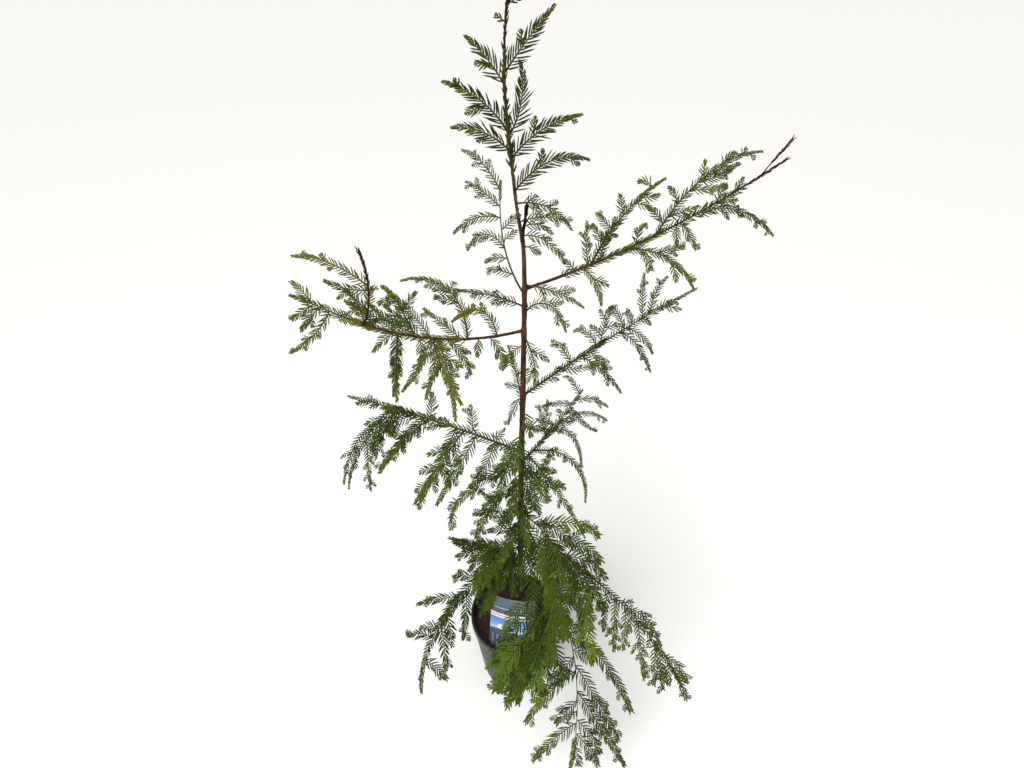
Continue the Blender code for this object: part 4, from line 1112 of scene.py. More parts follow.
# What single masses do in their own way: length of needles and of the stem's needles, the share of
# the stem where those start (first) and end (bareFrom), whether scale leaves lie along the rest,
# spacing and longest of the fill twigs, how long the rule's twigs show, a stretch (side, from, to)
# without twigs, how far the whole spray sinks and its end droops, the share of the stem where it
# ends (until), a forked bare tip (share, length, lift), and shades
plainHabit = dict(
    stemLength=None, first=0.0, bareFrom=1.0, scales=False, longest=None, bare=(0, 0.0, 0.0),
    sink=0.0, droop=0.0, until=1.0, fork=None,
)
habits = {
    "leader_tip": dict(length=0.0068, ruled=0.4, scales=True, bareFrom=0.0),
    "leader_left_2": dict(until=0.93),
    "leader_right_4": dict(sink=0.009, droop=0.10),
    "right_small": dict(sink=0.012, droop=0.14, ruled=0.55),
    "left_upper_tip": dict(
        droop=0.14, until=0.93, ruled=0.6, shades=dict(needleOlive=5, needleSage=3, needleGreen=2),
        tipShades=dict(needleOlive=5, needleBronze=3)),
    "left_upper_drop": dict(length=0.0125, ruled=0.35, spacing=0.030),
    "left_upper_hanging": dict(length=0.0120, ruled=0.55, spacing=0.018),
    "left_middle_drop": dict(ruled=0.6, spacing=0.014),
    "left_middle_outer": dict(length=0.0082, ruled=0.5, spacing=0.017),
    "left_middle_tip": dict(length=0.0078, ruled=0.55),
    "right_lower_tip": dict(length=0.0090, ruled=0.5),
    "left_upper_rise": dict(
        droop=0.08, ruled=0.65, spacing=0.016, bareFrom=0.50, scales=True,
        shades=dict(needleOlive=4, needleGreen=3, needleSage=2),
        tipShades=dict(needleOlive=4, needleFresh=3, needleBronze=1)),
    "upright_shoot": dict(stemLength=0.0080, first=0.72, until=0.88),
    "front_low": dict(bare=(-1, 0.08, 0.55)),
    "front_middle": dict(bare=(-1, 0.28, 0.70)),
    "right_upper_tip": dict(bareFrom=0.66, scales=True, ruled=0.4, until=0.97, fork=(0.76, 0.046, 36.0)),
    "left_low": dict(longest=0.030),
    "left_drooping": dict(ruled=0.42, spacing=0.024),
    "front_right": dict(ruled=0.7, spacing=0.018),
    "right_lower_arch": dict(ruled=0.34, spacing=0.026),
    "right_lower_bow": dict(ruled=0.34, spacing=0.026),
    "right_lower_down": dict(ruled=0.34, spacing=0.026),
    "left_short": dict(spacing=0.0055, longest=0.050),
    "low_front_tip": dict(first=0.80, length=0.0152, ruled=0.5),
    "low_right_tip": dict(length=0.0098, ruled=0.30, spacing=0.022, until=0.90),
}

# Twigs that the rule doesn't give: share of the stem (height, on the trunk), heading, rise, length
# and sag of each. Their ends were picked by eye and a fitting script worked out these numbers
handTwigs = {
    "upright_shoot": (
        (0.6, 190, 19, 0.058, 1.7), (0.367, 170, 60, 0.062, 2.5), (0.683, 162, 39, 0.045, 0.7),
        (0.8, 143, 54, 0.063, 1.2), (0.3, 183, 14, 0.027, 1.3), (0.433, 10, 36, 0.019, 0.4),
    ),
    "trunk": (
        (0.922, 342, 16, 0.059, 2.2), (0.91, 350, 6, 0.021, 1.4), (0.93, 355, 35, 0.039, 1.9),
        (0.937, 359, 22, 0.054, 1.2), (0.782, 218, 14, 0.044, 2.8), (0.563, 313, 23, 0.063, 2.0),
        (0.513, 224, 58, 0.136, 2.8), (0.641, 355, 47, 0.033, 1.7), (0.598, 204, 2, 0.061, 2.8),
        (0.639, 255, -16, 0.061, 1.8), (0.563, 253, -22, 0.075, 1.7), (0.496, 282, -41, 0.07, 0.1),
        (0.593, 237, 26, 0.082, 2.6), (0.541, 298, 10, 0.061, 1.4), (0.448, 238, -5, 0.074, 2.3),
        (0.704, 230, -9, 0.045, 2.6), (0.679, 294, -38, 0.037, 0.6), (0.383, 240, 9, 0.067, 2),
        (0.363, 272, 6, 0.065, 2), (0.423, 296, -38, 0.058, 0.2), (0.496, 227, -7, 0.05, 1.2),
        (0.483, 274, -7, 0.052, 1.4), (0.611, 282, -6, 0.048, 2), (0.626, 226, 0, 0.05, 2.4),
        (0.546, 238, -5, 0.046, 2.1), (0.443, 240, -4, 0.052, 2), (0.578, 318, -26, 0.032, 0.1),
        (0.353, 225, -8, 0.071, 1.2), (0.353, 231, 10, 0.111, 2), (0.383, 226, 22, 0.102, 1.9),
    ),
    "right_upper": (
        (0.467, 112, 58, 0.048, 0.0), (0.55, 57, 75, 0.049, 0.9), (0.817, 230, 84, 0.028, 1.1),
        (0.367, 160, 52, 0.019, 1.1),
    ),
    "right_upper_long": (
        (0.35, 350, 1, 0.037, -0.1), (0.433, 23, -2, 0.046, -0.4), (0.133, 5, 15, 0.035, 0.1),
        (0.233, 170, 67, 0.022, 1.2), (0.467, 96, 58, 0.018, -0.4), (0.633, 295, 70, 0.019, 1.0),
        (0.083, 156, 46, 0.028, 0.8), (0.533, 5, 2, 0.032, -0.4),
    ),
    "right_upper_tip": (
        (0.117, 270, -53, 0.023, 1.2), (0.15, 309, -26, 0.035, 1.4), (0.233, 335, 38, 0.098, 1.8),
        (0.433, 310, 9, 0.023, -0.4), (0.433, 53, 74, 0.022, 0.9), (0.567, 40, 53, 0.017, -0.4),
    ),
    "right_upper_back": (
        (0.333, 170, 27, 0.025, -0.2), (0.683, 350, -2, 0.021, -0.3), (0.833, 160, 46, 0.021, 1.4),
    ),
    "left_upper": (
        (0.167, 210, 79, 0.082, 1.5), (0.217, 317, -14, 0.041, 1.2), (0.283, 274, -33, 0.022, 2.0),
        (0.567, 140, 44, 0.084, 0.3), (0.683, 160, 30, 0.063, -0.4), (0.383, 157, 32, 0.057, -0.4),
        (0.483, 328, -2, 0.055, 2.1), (0.633, 286, -59, 0.041, -0.4), (0.783, 212, -10, 0.033, 1.4),
        (0.633, 159, 38, 0.054, -0.4), (0.883, 158, 51, 0.046, 0.4), (0.783, 160, 48, 0.056, 0.7),
        (0.767, 274, -22, 0.074, 2.0), (0.533, 297, -25, 0.102, 0.6), (0.567, 245, -42, 0.07, 0),
        (0.517, 260, -45, 0.072, 0.6),
    ),
    "left_upper_rise": (
        (0.55, 161, 33, 0.094, 1.1), (0.5, 200, 6, 0.046, -0.4), (0.383, 22, 78, 0.019, 1.6),
    ),
    "left_upper_tip": (
        (0.367, 215, -54, 0.064, -0.4), (0.483, 230, -10, 0.033, 1.4), (0.3, 347, -26, 0.03, -0.3),
    ),
    "left_middle": (
        (0.483, 253, -7, 0.116, 0.9), (0.333, 239, -27, 0.114, 0.8), (0.717, 227, -11, 0.098, 1.2),
        (0.783, 201, 8, 0.055, 1.5), (0.367, 10, 82, 0.05, -0.4), (0.683, 65, 57, 0.039, 0.6),
        (0.217, 25, 25, 0.024, 0.0), (0.2, 250, -42, 0.075, -0.4), (0.917, 242, -11, 0.071, 1.1),
    ),
    "left_middle_outer": (
        (0.367, 277, -41, 0.085, 2.7), (0.25, 242, 26, 0.102, 2.8), (0.15, 273, -47, 0.058, -0.4),
    ),
    "right_middle": (
        (0.9, 172, 62, 0.048, 1.5), (0.583, 154, 58, 0.047, 1.3), (0.467, 345, 7, 0.056, -0.4),
        (0.767, 325, 30, 0.042, 2.8),
    ),
    "right_middle_tip": (
        (0.217, 340, 0, 0.057, 2.5), (0.15, 325, -1, 0.075, 2.8), (0.4, 111, 66, 0.061, 0.1),
        (0.467, 64, 73, 0.064, 1.1), (0.2, 142, 63, 0.051, 1.5), (0.35, 13, 26, 0.026, 2.5),
        (0.55, 358, 59, 0.035, 1.5),
    ),
    "right_lower": (
        (1.0, 21, 47, 0.134, 2.0), (1.0, 117, 42, 0.048, -0.4), (1.0, 94, 50, 0.056, 0.1),
    ),
    "right_lower_tip": (
        (0.767, 337, 38, 0.06, 1.6), (0.9, 160, 67, 0.053, 1.6), (0.7, 195, 20, 0.052, 0.8),
        (0.633, 302, -26, 0.059, -0.4),
    ),
    "left_short": (
        (0.317, 254, 34, 0.103, 1.4), (0.217, 259, 10, 0.111, 2.0), (0.433, 230, 0, 0.055, 1.2),
        (0.117, 260, 10, 0.072, 2.0), (0.567, 183, 6, 0.047, -0.4), (0.283, 170, 27, 0.046, 0.9),
        (0.167, 283, 6, 0.08, 1.2), (0.5, 204, -9, 0.051, -0.1), (0.217, 213, -20, 0.046, -0.4),
        (0.15, 174, 42, 0.039, 1.4), (0.35, 209, 11, 0.05, 1.2), (0.167, 252, -9, 0.103, 2),
        (0.35, 253, -4, 0.09, 1.8), (0.45, 193, 6, 0.044, 0.1), (0.367, 255, 1, 0.102, 2),
        (0.283, 254, -18, 0.123, 1.6), (0.217, 246, -22, 0.106, 2.3), (0.433, 254, 9, 0.078, 1.7),
    ),
    "left_low": (
        (0.333, 234, 6, 0.062, 0.6), (0.383, 197, 27, 0.069, 0.2), (0.617, 182, 57, 0.046, 0.9),
        (0.333, 276, -54, 0.077, -0.4), (0.533, 285, -6, 0.078, 2.3), (0.75, 335, 6, 0.05, 1.2),
    ),
    "front_low": (
        (0.483, 216, -25, 0.09, 0.1), (0.633, 227, 50, 0.101, 2.0), (0.717, 240, 9, 0.077, 2.0),
        (0.8, 305, -22, 0.049, 0.1), (0.883, 216, -9, 0.032, 0.1), (0.6, 283, 41, 0.086, 2.0),
        (0.683, 209, 6, 0.053, 0.8), (0.733, 247, -38, 0.055, -0.3), (0.6, 253, 6, 0.081, 2.2),
        (0.55, 297, -6, 0.085, 2.0), (0.9, 182, -1, 0.033, -0.4), (0.783, 318, 6, 0.045, 1.2),
        (0.417, 216, 6, 0.065, 1.2), (0.633, 193, -2, 0.081, 1.4), (0.717, 208, -2, 0.07, 1.1),
        (0.633, 243, 5, 0.077, 2),
    ),
    "front_middle": (
        (0.717, 226, 0, 0.071, 1.2), (0.783, 294, -22, 0.066, 2.6), (0.5, 272, 26, 0.109, 2.5),
        (0.667, 241, 25, 0.073, 1.6), (0.4, 287, 30, 0.104, 1.9), (0.583, 225, 22, 0.059, 2.0),
    ),
    "front_right": (
        (0.2, 5, 23, 0.103, 1.4), (0.483, 353, 26, 0.082, 2.0), (0.4, 339, 62, 0.09, 1.5),
        (0.65, 290, 27, 0.075, 1.8), (0.283, 265, -6, 0.066, 2.0), (0.667, 243, -57, 0.082, -0.4),
        (0.5, 242, -26, 0.083, 1.4), (0.833, 283, 30, 0.077, 2.0), (0.3, 290, 10, 0.075, 2),
        (0.217, 339, 42, 0.07, 2.3), (0.333, 290, 6, 0.086, 1.4), (0.45, 304, 35, 0.105, 2.8),
        (0.567, 334, 5, 0.092, 2.8), (0.25, 281, -38, 0.098, 0.9),
    ),
    "low_right_tip": (
        (0.3, 303, 55, 0.087, 1.8), (0.133, 252, -6, 0.063, 2.0), (0.3, 258, -10, 0.065, 2.5),
        (0.4, 270, 6, 0.088, 2.1), (0.583, 259, 6, 0.062, 2.1), (0.2, 257, 25, 0.086, 2.4),
        (0.767, 291, 38, 0.053, 2.5), (0.683, 306, 38, 0.049, 1.4), (0.617, 269, 7, 0.061, 2),
    ),
    "low_front_tip": (
        (0.417, 214, 6, 0.111, 0.6), (0.383, 310, -27, 0.127, 0.1), (0.533, 329, -55, 0.164, -0.4),
        (0.717, 200, -26, 0.103, 0.6), (0.25, 311, 54, 0.161, 1.6), (0.583, 216, -22, 0.048, -0.4),
        (0.783, 339, -48, 0.091, 0.7), (0.333, 226, -4, 0.052, 1.2), (0.7, 323, -22, 0.065, 0.6),
    ),
}


def needleTemplate():
    # One needle of 10 triangles: a folded strip, narrow at its foot and pointed at its tip
    bm = bmesh.new()
    parts = len(needle["outline"]) - 1
    bmesh.ops.create_grid(bm, x_segments=2, y_segments=parts, size=0.5)
    for vert in bm.verts:
        along, wide = needle["outline"][round((vert.co.y + 0.5) * parts)]
        vert.co = (vert.co.x * wide, along, abs(vert.co.x) * wide * needle["fold"] * 2)
    bmesh.ops.remove_doubles(bm, verts=bm.verts, dist=mergeDistance)
    bmesh.ops.triangulate(bm, faces=bm.faces)
    bm.verts.index_update()
    points = np.array([v.co for v in bm.verts])
    triangles = np.array([[v.index for v in f.verts] for f in bm.faces])
    bm.free()
    return points, triangles


def cardPoints(columns, rows):
    # Points spread over the part of the tag that stands out of the soil
    shown = tag["height"] - tag["buried"]
    return np.array([
        tagPoint(tag["width"] * (i / columns - 0.5), shown * j / rows, 0.0)
        for i in range(columns + 1) for j in range(rows + 1)
    ])


tagSpots = cardPoints(26, 36)
tagCentre = tagSpots.mean(0)
# where needles may stand: above the floor, and a little further off the card than its points
room = dict(floor=0.004, tagReach=0.08, tagSpacing=0.0012, innerWallAt=0.165)


def potAndTagFree(spots, margin):
    # Which points are clear of the pot's wall, the soil, the floor and the tag
    away = np.hypot(spots[:, 0], spots[:, 1])
    outside = away > pot["lipRadius"] + margin
    above = spots[:, 2] > pot["height"] + margin
    inner = away < wallRadius(room["innerWallAt"]) - pot["wall"] - margin
    inPot = inner & (spots[:, 2] > trunk["soilTop"] + margin)
    free = (outside | above | inPot) & (spots[:, 2] > room["floor"])
    near = (np.abs(spots - tagCentre) < room["tagReach"]).all(1)
    if near.any():
        gaps = np.sqrt(((spots[near][:, None] - tagSpots[None]) ** 2).sum(-1).min(1))
        free[near] &= gaps > margin + room["tagSpacing"]
    return free


def fillCrowd():
    # What the rule's twigs keep clear of: trunk, boughs, tag and the stems of all masses
    top = trunk["soilTop"] + trunk["stations"][-1][0]
    levels = np.linspace(trunk["soilTop"], top, 321)
    joinCrowd("trunk", np.array([trunkFrame(level)[0] for level in levels]), twigRule["trunkClearance"])
    for name in boughs:
        joinCrowd("bough_" + name, lineSamples(limbOf(name, 20)), twigRule["limbClearance"])
    joinCrowd("tag", cardPoints(16, 24), twigRule["clearance"])
    for name in masses:
        joinCrowd(name, lineSamples(stemOf(name)[1]), twigRule["stemClearance"])


def sprayFits(name, curve, length, reach):
    first = twigRule["rootShare"]
    spots = bladeSamples(partOfCurve(curve, first, 1.0, 8), length * (1.0 - first), reach)
    beside = np.hypot(spots[:, 0], spots[:, 1]) > pot["lipRadius"] + twigRule["potClearance"]
    above = spots[:, 2] > pot["height"] + twigRule["potClearance"]
    if (spots[:, 2] < twigRule["floorClearance"]).any() or not (beside | above).all():
        return False
    return isClear(name, spots)


def drooped(curve, length, amount, sink=0.0):
    # The curve with its outer part let down, its frames turned to suit
    shares = np.linspace(0, 1, len(curve))
    points = curve[:, 0] - upward * (sink + amount * length * shares**3)[:, None]
    ahead = unit(np.gradient(points, axis=0))
    side = unit(curve[:, 2] - ahead * (curve[:, 2] * ahead).sum(1, keepdims=True))
    return np.stack((points, ahead, side, np.cross(ahead, side)), axis=1)


# How the foliage looks where the source's rule doesn't say: lengths and radii in metres, angles in
# degrees, and places as shares of the stem or twig
light = dict(forward=-0.55, overhead=1.15, share=0.75)
facing = unit(np.array((0.0, light["forward"], 1.0)))
twiglet = dict(
    fromLength=0.024, every=0.0135, first=0.30, span=0.62, amongst=(0.3, 0.7), angle=(36, 52),
    share=0.40, sizes=(0.6, 1.1), full=1.15, shrinking=0.45, tilt=(-0.25, 0.15), sag=0.6, steps=5,
    radii=(0.0005, 0.0003), age=(0.1, 0.0),
)
filler = dict(
    apart=0.009, amongst=(0.3, 0.7), widest=0.42, narrowing=0.62, lengths=(0.010, 0.048),
    size=(0.40, 0.42), byRoom=(0.35, 0.65), angle=50.0, angleSpread=(-12, 6), closing=14,
    roll=26, sag=0.50, clearance=0.004, radii=(0.0008, 0.00035),
)
placed = dict(steps=12, radii=(0.0007, 0.0004), thicker=0.004)
shoot = dict(
    first=0.0025, stemFirst=0.002, age=(0.45, 0.0), stemAge=(0.85, 0.05), oldAge=(1.0, 1.0),
    # thickest stem, its share of what carries it, and the thin end of a green and a scaly stem
    thickest=0.0014, ofCarrier=0.8, leastRadius=0.0007, thicker=0.006, greenEnd=0.0004, scalyEnd=0.0009,
    root=0.008, twigRadii=(0.0009, 0.0004), twigDroop=0.16, apart=0.008, bareStep=0.006,
    fill=(0.10, 0.96, 0.04), scalesFrom=0.02, forkSag=-0.1, forkRadii=(0.0007, 0.0008),
    forkScales=(0.35, 1.0), trunkFirst=0.006, trunkNeedles=0.0155, upperFrom=0.7,
)
scaleLeaf = dict(
    pitch=0.0011, length=0.0062, radius=0.0009, shades=("needleRust", "needleRust", "needleBronze"),
    angles=(6, 18), turn=2.4, lengths=(0.7, 1.15), width=0.20, seat=0.7,
)
leaderScales = dict(
    heights=(0.88, 1.094), steps=60, radius=0.0015,
    # first, last, pitch, length, angles and shades
    rows=(
        (0.0, 1.0, 0.0020, 0.0050, (6, 18), ("needleRust", "needleOlive", "needleDeep")),
        (0.50, 0.78, 0.0012, 0.0092, (16, 36), ("needleGreen", "needleOlive", "needleDeep")),
        (0.78, 1.0, 0.0026, 0.0070, (12, 28), ("needleDeep", "needleOlive", "needleRust")),
    ),
)


def turnedToLight(curve):
    # The flat of a spray turns up and to the front, high on the tree more to the front
    height, share = curve[:, 0, 2], light["share"]
    toLight = unit(np.stack((
        np.zeros_like(height), np.full_like(height, light["forward"]), light["overhead"] - height), axis=1))
    way = 1.0 if (curve[:, 3] * toLight).sum() > 0 else -1.0
    normal = curve[:, 3] * (way * (1.0 - share)) + toLight * share
    ahead = unit(curve[:, 1])
    side = unit(np.cross(normal, ahead))
    return np.stack((curve[:, 0], ahead, side, np.cross(ahead, side)), axis=1)


def pick(rng, weights):
    return rng.choices(list(weights), list(weights.values()))[0]


def newSpray(curve, length, radii, level, region, rng, **more):
    # Level 0 is a stem, 1 a twig and 2 a twiglet
    spray = dict(
        curve=turnedToLight(curve), length=length, radii=radii, level=level, region=region,
        shade=pick(rng, region["shades"]), tipShade=pick(rng, region["tipShades"]),
        needleLength=region["length"], first=shoot["first"], bareFrom=1.0, age=shoot["age"],
        root=0.0, scales=None, limb=False,
    )
    spray.update(more)
    return spray


def growTwiglets(twig, rng):
    # Short twiglets towards the end of a twig, which give it its clumped tip
    region, rule = twig["region"], twiglet
    count = int(twig["length"] / rule["every"])
    side = rng.choice((-1, 1))
    for i in range(count):
        side = -side
        if rng.random() > region["twiglets"]:
            continue
        share = rule["first"] + rule["span"] * (i + rng.uniform(*rule["amongst"])) / count
        point, ahead, across, normal = framesAt(twig["curve"], share)[0]
        angle = math.radians(rng.uniform(*rule["angle"]))
        length = min(twig["length"] * rule["share"], region["twigletLongest"]) * rng.uniform(*rule["sizes"])
        length *= rule["full"] - rule["shrinking"] * share
        leave = unit(turnedOut(ahead, across, side * angle) + normal * rng.uniform(*rule["tilt"]))
        curve = twigCurve(point, leave, ahead, normal, length, rule["sag"], rule["steps"])
        alike = {key: twig[key] for key in ("shade", "tipShade", "needleLength")}
        yield newSpray(curve, length, rule["radii"], 2, region, rng, age=rule["age"], **alike)


def addTwiglets(grown, rng):
    for spray in [s for s in grown if s["level"] == 1 and s["length"] > twiglet["fromLength"]]:
        grown.extend(growTwiglets(spray, rng))


def tooNear(share, side, taken, length, apart):
    return any(s == side and abs(share - other) * length < apart for other, s in taken)


def fillTwigs(stem, length, first, last, spacing, longest, region, rng, taken, sideways=(-1, 1)):
    # Twigs between those of the source, within the same reach
    rule = filler
    count = int(length * (last - first) / spacing)
    (shortest, most), (part, more), (least, byRoom) = rule["lengths"], rule["size"], rule["byRoom"]
    side = rng.choice((-1, 1))
    for i in range(count):
        share = first + (last - first) * (i + rng.uniform(*rule["amongst"])) / count
        side = -side
        if rng.random() > region["fill"] or side not in sideways:
            continue
        if tooNear(share, side, taken, length, rule["apart"]):
            continue
        point, ahead, across, normal = framesAt(stem, share)[0]
        space = least + byRoom * (1.0 - abs(share - rule["widest"]) / rule["narrowing"])
        size = min(most, max(shortest, longest * (part + more * rng.random()) * space))
        angle = math.radians(rule["angle"] + rng.uniform(*rule["angleSpread"]) - rule["closing"] * share)
        roll = math.radians(rng.uniform(-rule["roll"], rule["roll"]))
        leave, tilted = turnedOut(ahead, across, side * angle), turnedOut(normal, across, roll)
        curve = twigCurve(point, leave, ahead, tilted, size, rule["sag"])
        if potAndTagFree(curve[2:, 0], rule["clearance"]).all():
            yield newSpray(curve, size, rule["radii"], 1, region, rng)


def placedTwigs(owner, stem, region, rng):
    # The twigs in handTwigs, with their flat turned up and to the front
    thick, thin = placed["radii"]
    for share, heading, rise, size, sag in handTwigs.get(owner, ()):
        point, ahead = framesAt(stem, share)[0][:2]
        curve = twigCurve(point, headingVector(heading, rise), ahead, facing, size, sag, placed["steps"])
        yield newSpray(curve, size, (thick + size * placed["thicker"], thin), 1, region, rng)


def bothSides(owner):
    # The places of an owner's listed twigs, taken on both sides
    return [(row[0], side) for row in handTwigs.get(owner, ()) for side in (-1, 1)]


def newStem(name, number, mass, seen, carrierRadius, look, rng):
    # The spray of the stem itself, with scale leaves along it where it has turned to wood
    until, scaly, length = look["until"], look["scales"], mass["length"]
    onTrunk = mass["on"] == "trunk" and number > 0
    thick = min(shoot["thickest"], carrierRadius * shoot["ofCarrier"],
                shoot["leastRadius"] + length * shoot["thicker"])
    thin = shoot["scalyEnd"] if scaly else shoot["greenEnd"]
    return newSpray(
        partOfCurve(seen, 0.0, until, len(seen) - 1), length * until, (thick, thin), 0, look, rng,
        bareFrom=look["bareFrom"], age=shoot["oldAge"] if scaly else shoot["stemAge"],
        first=max(look["bareFoot"] if onTrunk else shoot["stemFirst"], length * look["first"]),
        root=shoot["root"] if name.endswith("_tip") else 0.0,
        scales=(max(shoot["scalesFrom"], look["bareFrom"]), 1.0) if scaly else None,
        needleLength=look["stemLength"] or look["length"])


def ruledTwigs(name, mass, stem, seen, look, taken, sprayRng, rng):
    # The source's own twigs, shrunk or left out by its rule, and drooping as the stem does
    length, rule, ruled = mass["length"], twigRule, look["ruled"]
    end = partOfCurve(stem, rule["stemShare"] - rule["sink"] / length, 1.0, 8)
    endLength = length * (1.0 - rule["stemShare"]) + rule["sink"]
    blades = [(end, endLength, min(rule["reach"], endLength * rule["slenderness"]))]
    for share, side, point, leave, forward, normal, full in sideTwigs(mass, stem, sprayRng):
        if tooNear(share, side, taken, length, shoot["apart"]):
            continue
        for size in (full * shrink for shrink in rule["shrinks"]):
            curve = twigCurve(point, leave, forward, normal, size)
            reach = min(rule["reach"], size * rule["slenderness"])
            if not sprayFits(name, curve, size, reach):
                continue
            blades.append((curve, size, reach))
            taken.append((share, side))
            curve = curve.copy()
            curve[:, 0] += framesAt(seen, share)[0][0] - framesAt(stem, share)[0][0]
            curve = partOfCurve(drooped(curve, size, shoot["twigDroop"]), 0.0, ruled, 8)
            if share < look["until"]:
                yield newSpray(curve, size * ruled, shoot["twigRadii"], 1, look, rng)
            break
    for blade in blades:
        joinCrowd(name, bladeSamples(*blade), rule["clearance"])


def forkedTip(seen, fork, look, rng):
    share, size, lift = fork
    point, ahead, _, normal = framesAt(seen, share)[0]
    leave = unit(turnedOut(ahead, upward, math.radians(lift)))
    curve = twigCurve(point, leave, ahead, normal, size, shoot["forkSag"])
    return newSpray(curve, size, shoot["forkRadii"], 0, look, rng, age=shoot["oldAge"], bareFrom=0.0,
                    scales=shoot["forkScales"])


def growMass(name, number):
    mass, stem, carrierRadius = stemOf(name)
    look = {**plainHabit, **regions[regionOf[name]], **habits.get(name, {})}
    sprayRng, rng = random.Random(number), random.Random(1000 + number)
    length = mass["length"]
    seen = drooped(stem, length, look["droop"], look["sink"])
    grown = [newStem(name, number, mass, seen, carrierRadius, look, rng)]
    bareSide, bareFirst, bareLast = look["bare"]
    taken = bothSides(name)
    taken += [(share, bareSide) for share in np.arange(bareFirst, bareLast, shoot["bareStep"] / length)]
    grown += ruledTwigs(name, mass, stem, seen, look, taken, sprayRng, rng)
    sideways = (int(math.copysign(1, mass["side"])),) if abs(mass["side"]) == 2 else (-1, 1)
    first, last, offScales = shoot["fill"]
    last = min(last, look["until"], look["bareFrom"] - offScales)
    longest = look["longest"] or mass["longest"]
    grown += fillTwigs(seen, length, first, last, look["spacing"], longest, look, rng, taken, sideways)
    grown += placedTwigs(name, seen, look, rng)
    addTwiglets(grown, rng)
    if look["fork"]:
        grown.append(forkedTip(seen, look["fork"], look, rng))
    return grown


def clotheBough(name, number):
    # Needles and short twigs on the bough itself
    looks, region = boughLooks[name], regions[boughRegions[name]]
    rng = random.Random(2000 + number)
    curve, length = limbOf(name), boughs[name]["limb"]
    bare = length * looks["needles"]
    grown = [newSpray(curve, length, looks["radii"], 0, region, rng, first=bare, limb=True)]
    grown += fillTwigs(curve, length, looks["fill"], 1.0, region["spacing"], looks["longest"], region, rng,
                       bothSides(name))
    grown += placedTwigs(name, curve, region, rng)
    addTwiglets(grown, rng)
    return grown


def clotheTrunk():
    # The short twigs that grow from the trunk itself, by the region of their height
    grown = {"upperShoots": [], "leftMiddle": []}
    rng = random.Random(3000)
    for height, heading, rise, size, sag in handTwigs["trunk"]:
        name = "upperShoots" if height > shoot["upperFrom"] else "leftMiddle"
        start = trunkFrame(height)[0]
        curve = twigCurve(start, headingVector(heading, rise), upward, facing, size, sag, placed["steps"])
        reach = shoot["trunkNeedles"] if name == "leftMiddle" else regions[name]["length"]
        grown[name].append(newSpray(curve, size, shoot["twigRadii"], 1, regions[name], rng,
                                    first=shoot["trunkFirst"], needleLength=reach))
    for sprays in grown.values():
        addTwiglets(sprays, rng)
    return grown


def layNeedles(foot, ahead, side, normal, angle, lift, size, wide, shade, draw):
    # The rows of needles that stand at these feet, turned out by angle towards side
    m = len(foot)
    away = unit(ahead * np.cos(angle)[:, None] + side * np.sin(angle)[:, None] + normal * lift[:, None])
    across = unit(np.cross(normal, away))
    twist = draw.normal(0, needle["twistSpread"], m)
    lifted = np.cross(away, across)
    across = across * np.cos(twist)[:, None] + lifted * np.sin(twist)[:, None]
    lifted = np.cross(across, away)
    bend = (ahead * needle["forward"] - upward * needle["droop"]) * size[:, None]
    free = np.ones(m, bool)
    for share in (0.5, 1.0):
        free &= potAndTagFree(foot + away * (size * share)[:, None], needle["clearance"])
    rows = (foot, away, across, lifted, size, wide, bend, shade)
    return tuple(row[free] for row in rows)


def combRows(spray, rng):
    # Two ranks of needles, alternate, shorter at the foot and tip of the spray
    length, region, small = spray["length"], spray["region"], spray["level"] == 2
    most, extra = needle["ofSpray"]
    full = min(spray["needleLength"] * (needle["twigletLength"] if small else 1.0), most * length + extra)
    pitch = region["pitch"] * (needle["twigletPitch"] if small else 1.0)
    places, along = [], spray["first"]
    while along < length * spray["bareFrom"]:
        places.append(along / length)
        closing = 1.0 - needle["closing"] * (along / length) ** 2
        along += pitch * 0.5 * closing * rng.uniform(*needle["spacings"])
    if not places:
        return None
    u = np.array(places)
    m = len(u)
    draw = np.random.default_rng(rng.randrange(1 << 30))
    point, ahead, across, normal = (framesAt(spray["curve"], u)[:, k] for k in range(4))
    side = across * np.where(np.arange(m) % 2 == 0, 1.0, -1.0)[:, None]
    wideAngle, narrowAngle = region["angles"]
    angle = np.radians(wideAngle + (narrowAngle - wideAngle) * u + draw.normal(0, needle["angleSpread"], m))
    least, (late, lateByTaper) = region["taper"], needle["nearTip"]
    lengths = (*needle["lengthThere"], late + lateByTaper * least, least * needle["atTip"])
    profile = np.full(m, needle["onLimb"]) if spray["limb"] else np.interp(u, needle["places"], lengths)
    size = full * profile * draw.uniform(*needle["lengths"], m)
    wide = region["width"] * (needle["twigletWidth"] if small else 1.0) * draw.uniform(*needle["widths"], m)
    radius = spray["radii"][0] + (spray["radii"][1] - spray["radii"][0]) * u
    foot = point + side * (radius * needle["seat"])[:, None]
    # darker at the foot of the spray, partly painted shade near the stem and partly older needles, and
    # paler at its growing tip
    chance = draw.random(m)
    shade = np.full(m, shadeNames.index(spray["shade"]))
    inTip = np.clip((u - needle["tipFrom"]) * needle["tipGain"], 0, 1) * region["tips"]
    shade[chance < inTip] = shadeNames.index(spray["tipShade"])
    shade[chance > 1.0 - np.clip(needle["shadedFootUntil"] - u, 0, 1)] = shadeNames.index("needleDeep")
    lift = draw.normal(needle["lift"], needle["liftSpread"], m)
    return layNeedles(foot, ahead, side, normal, angle, lift, size, wide, shade, draw)


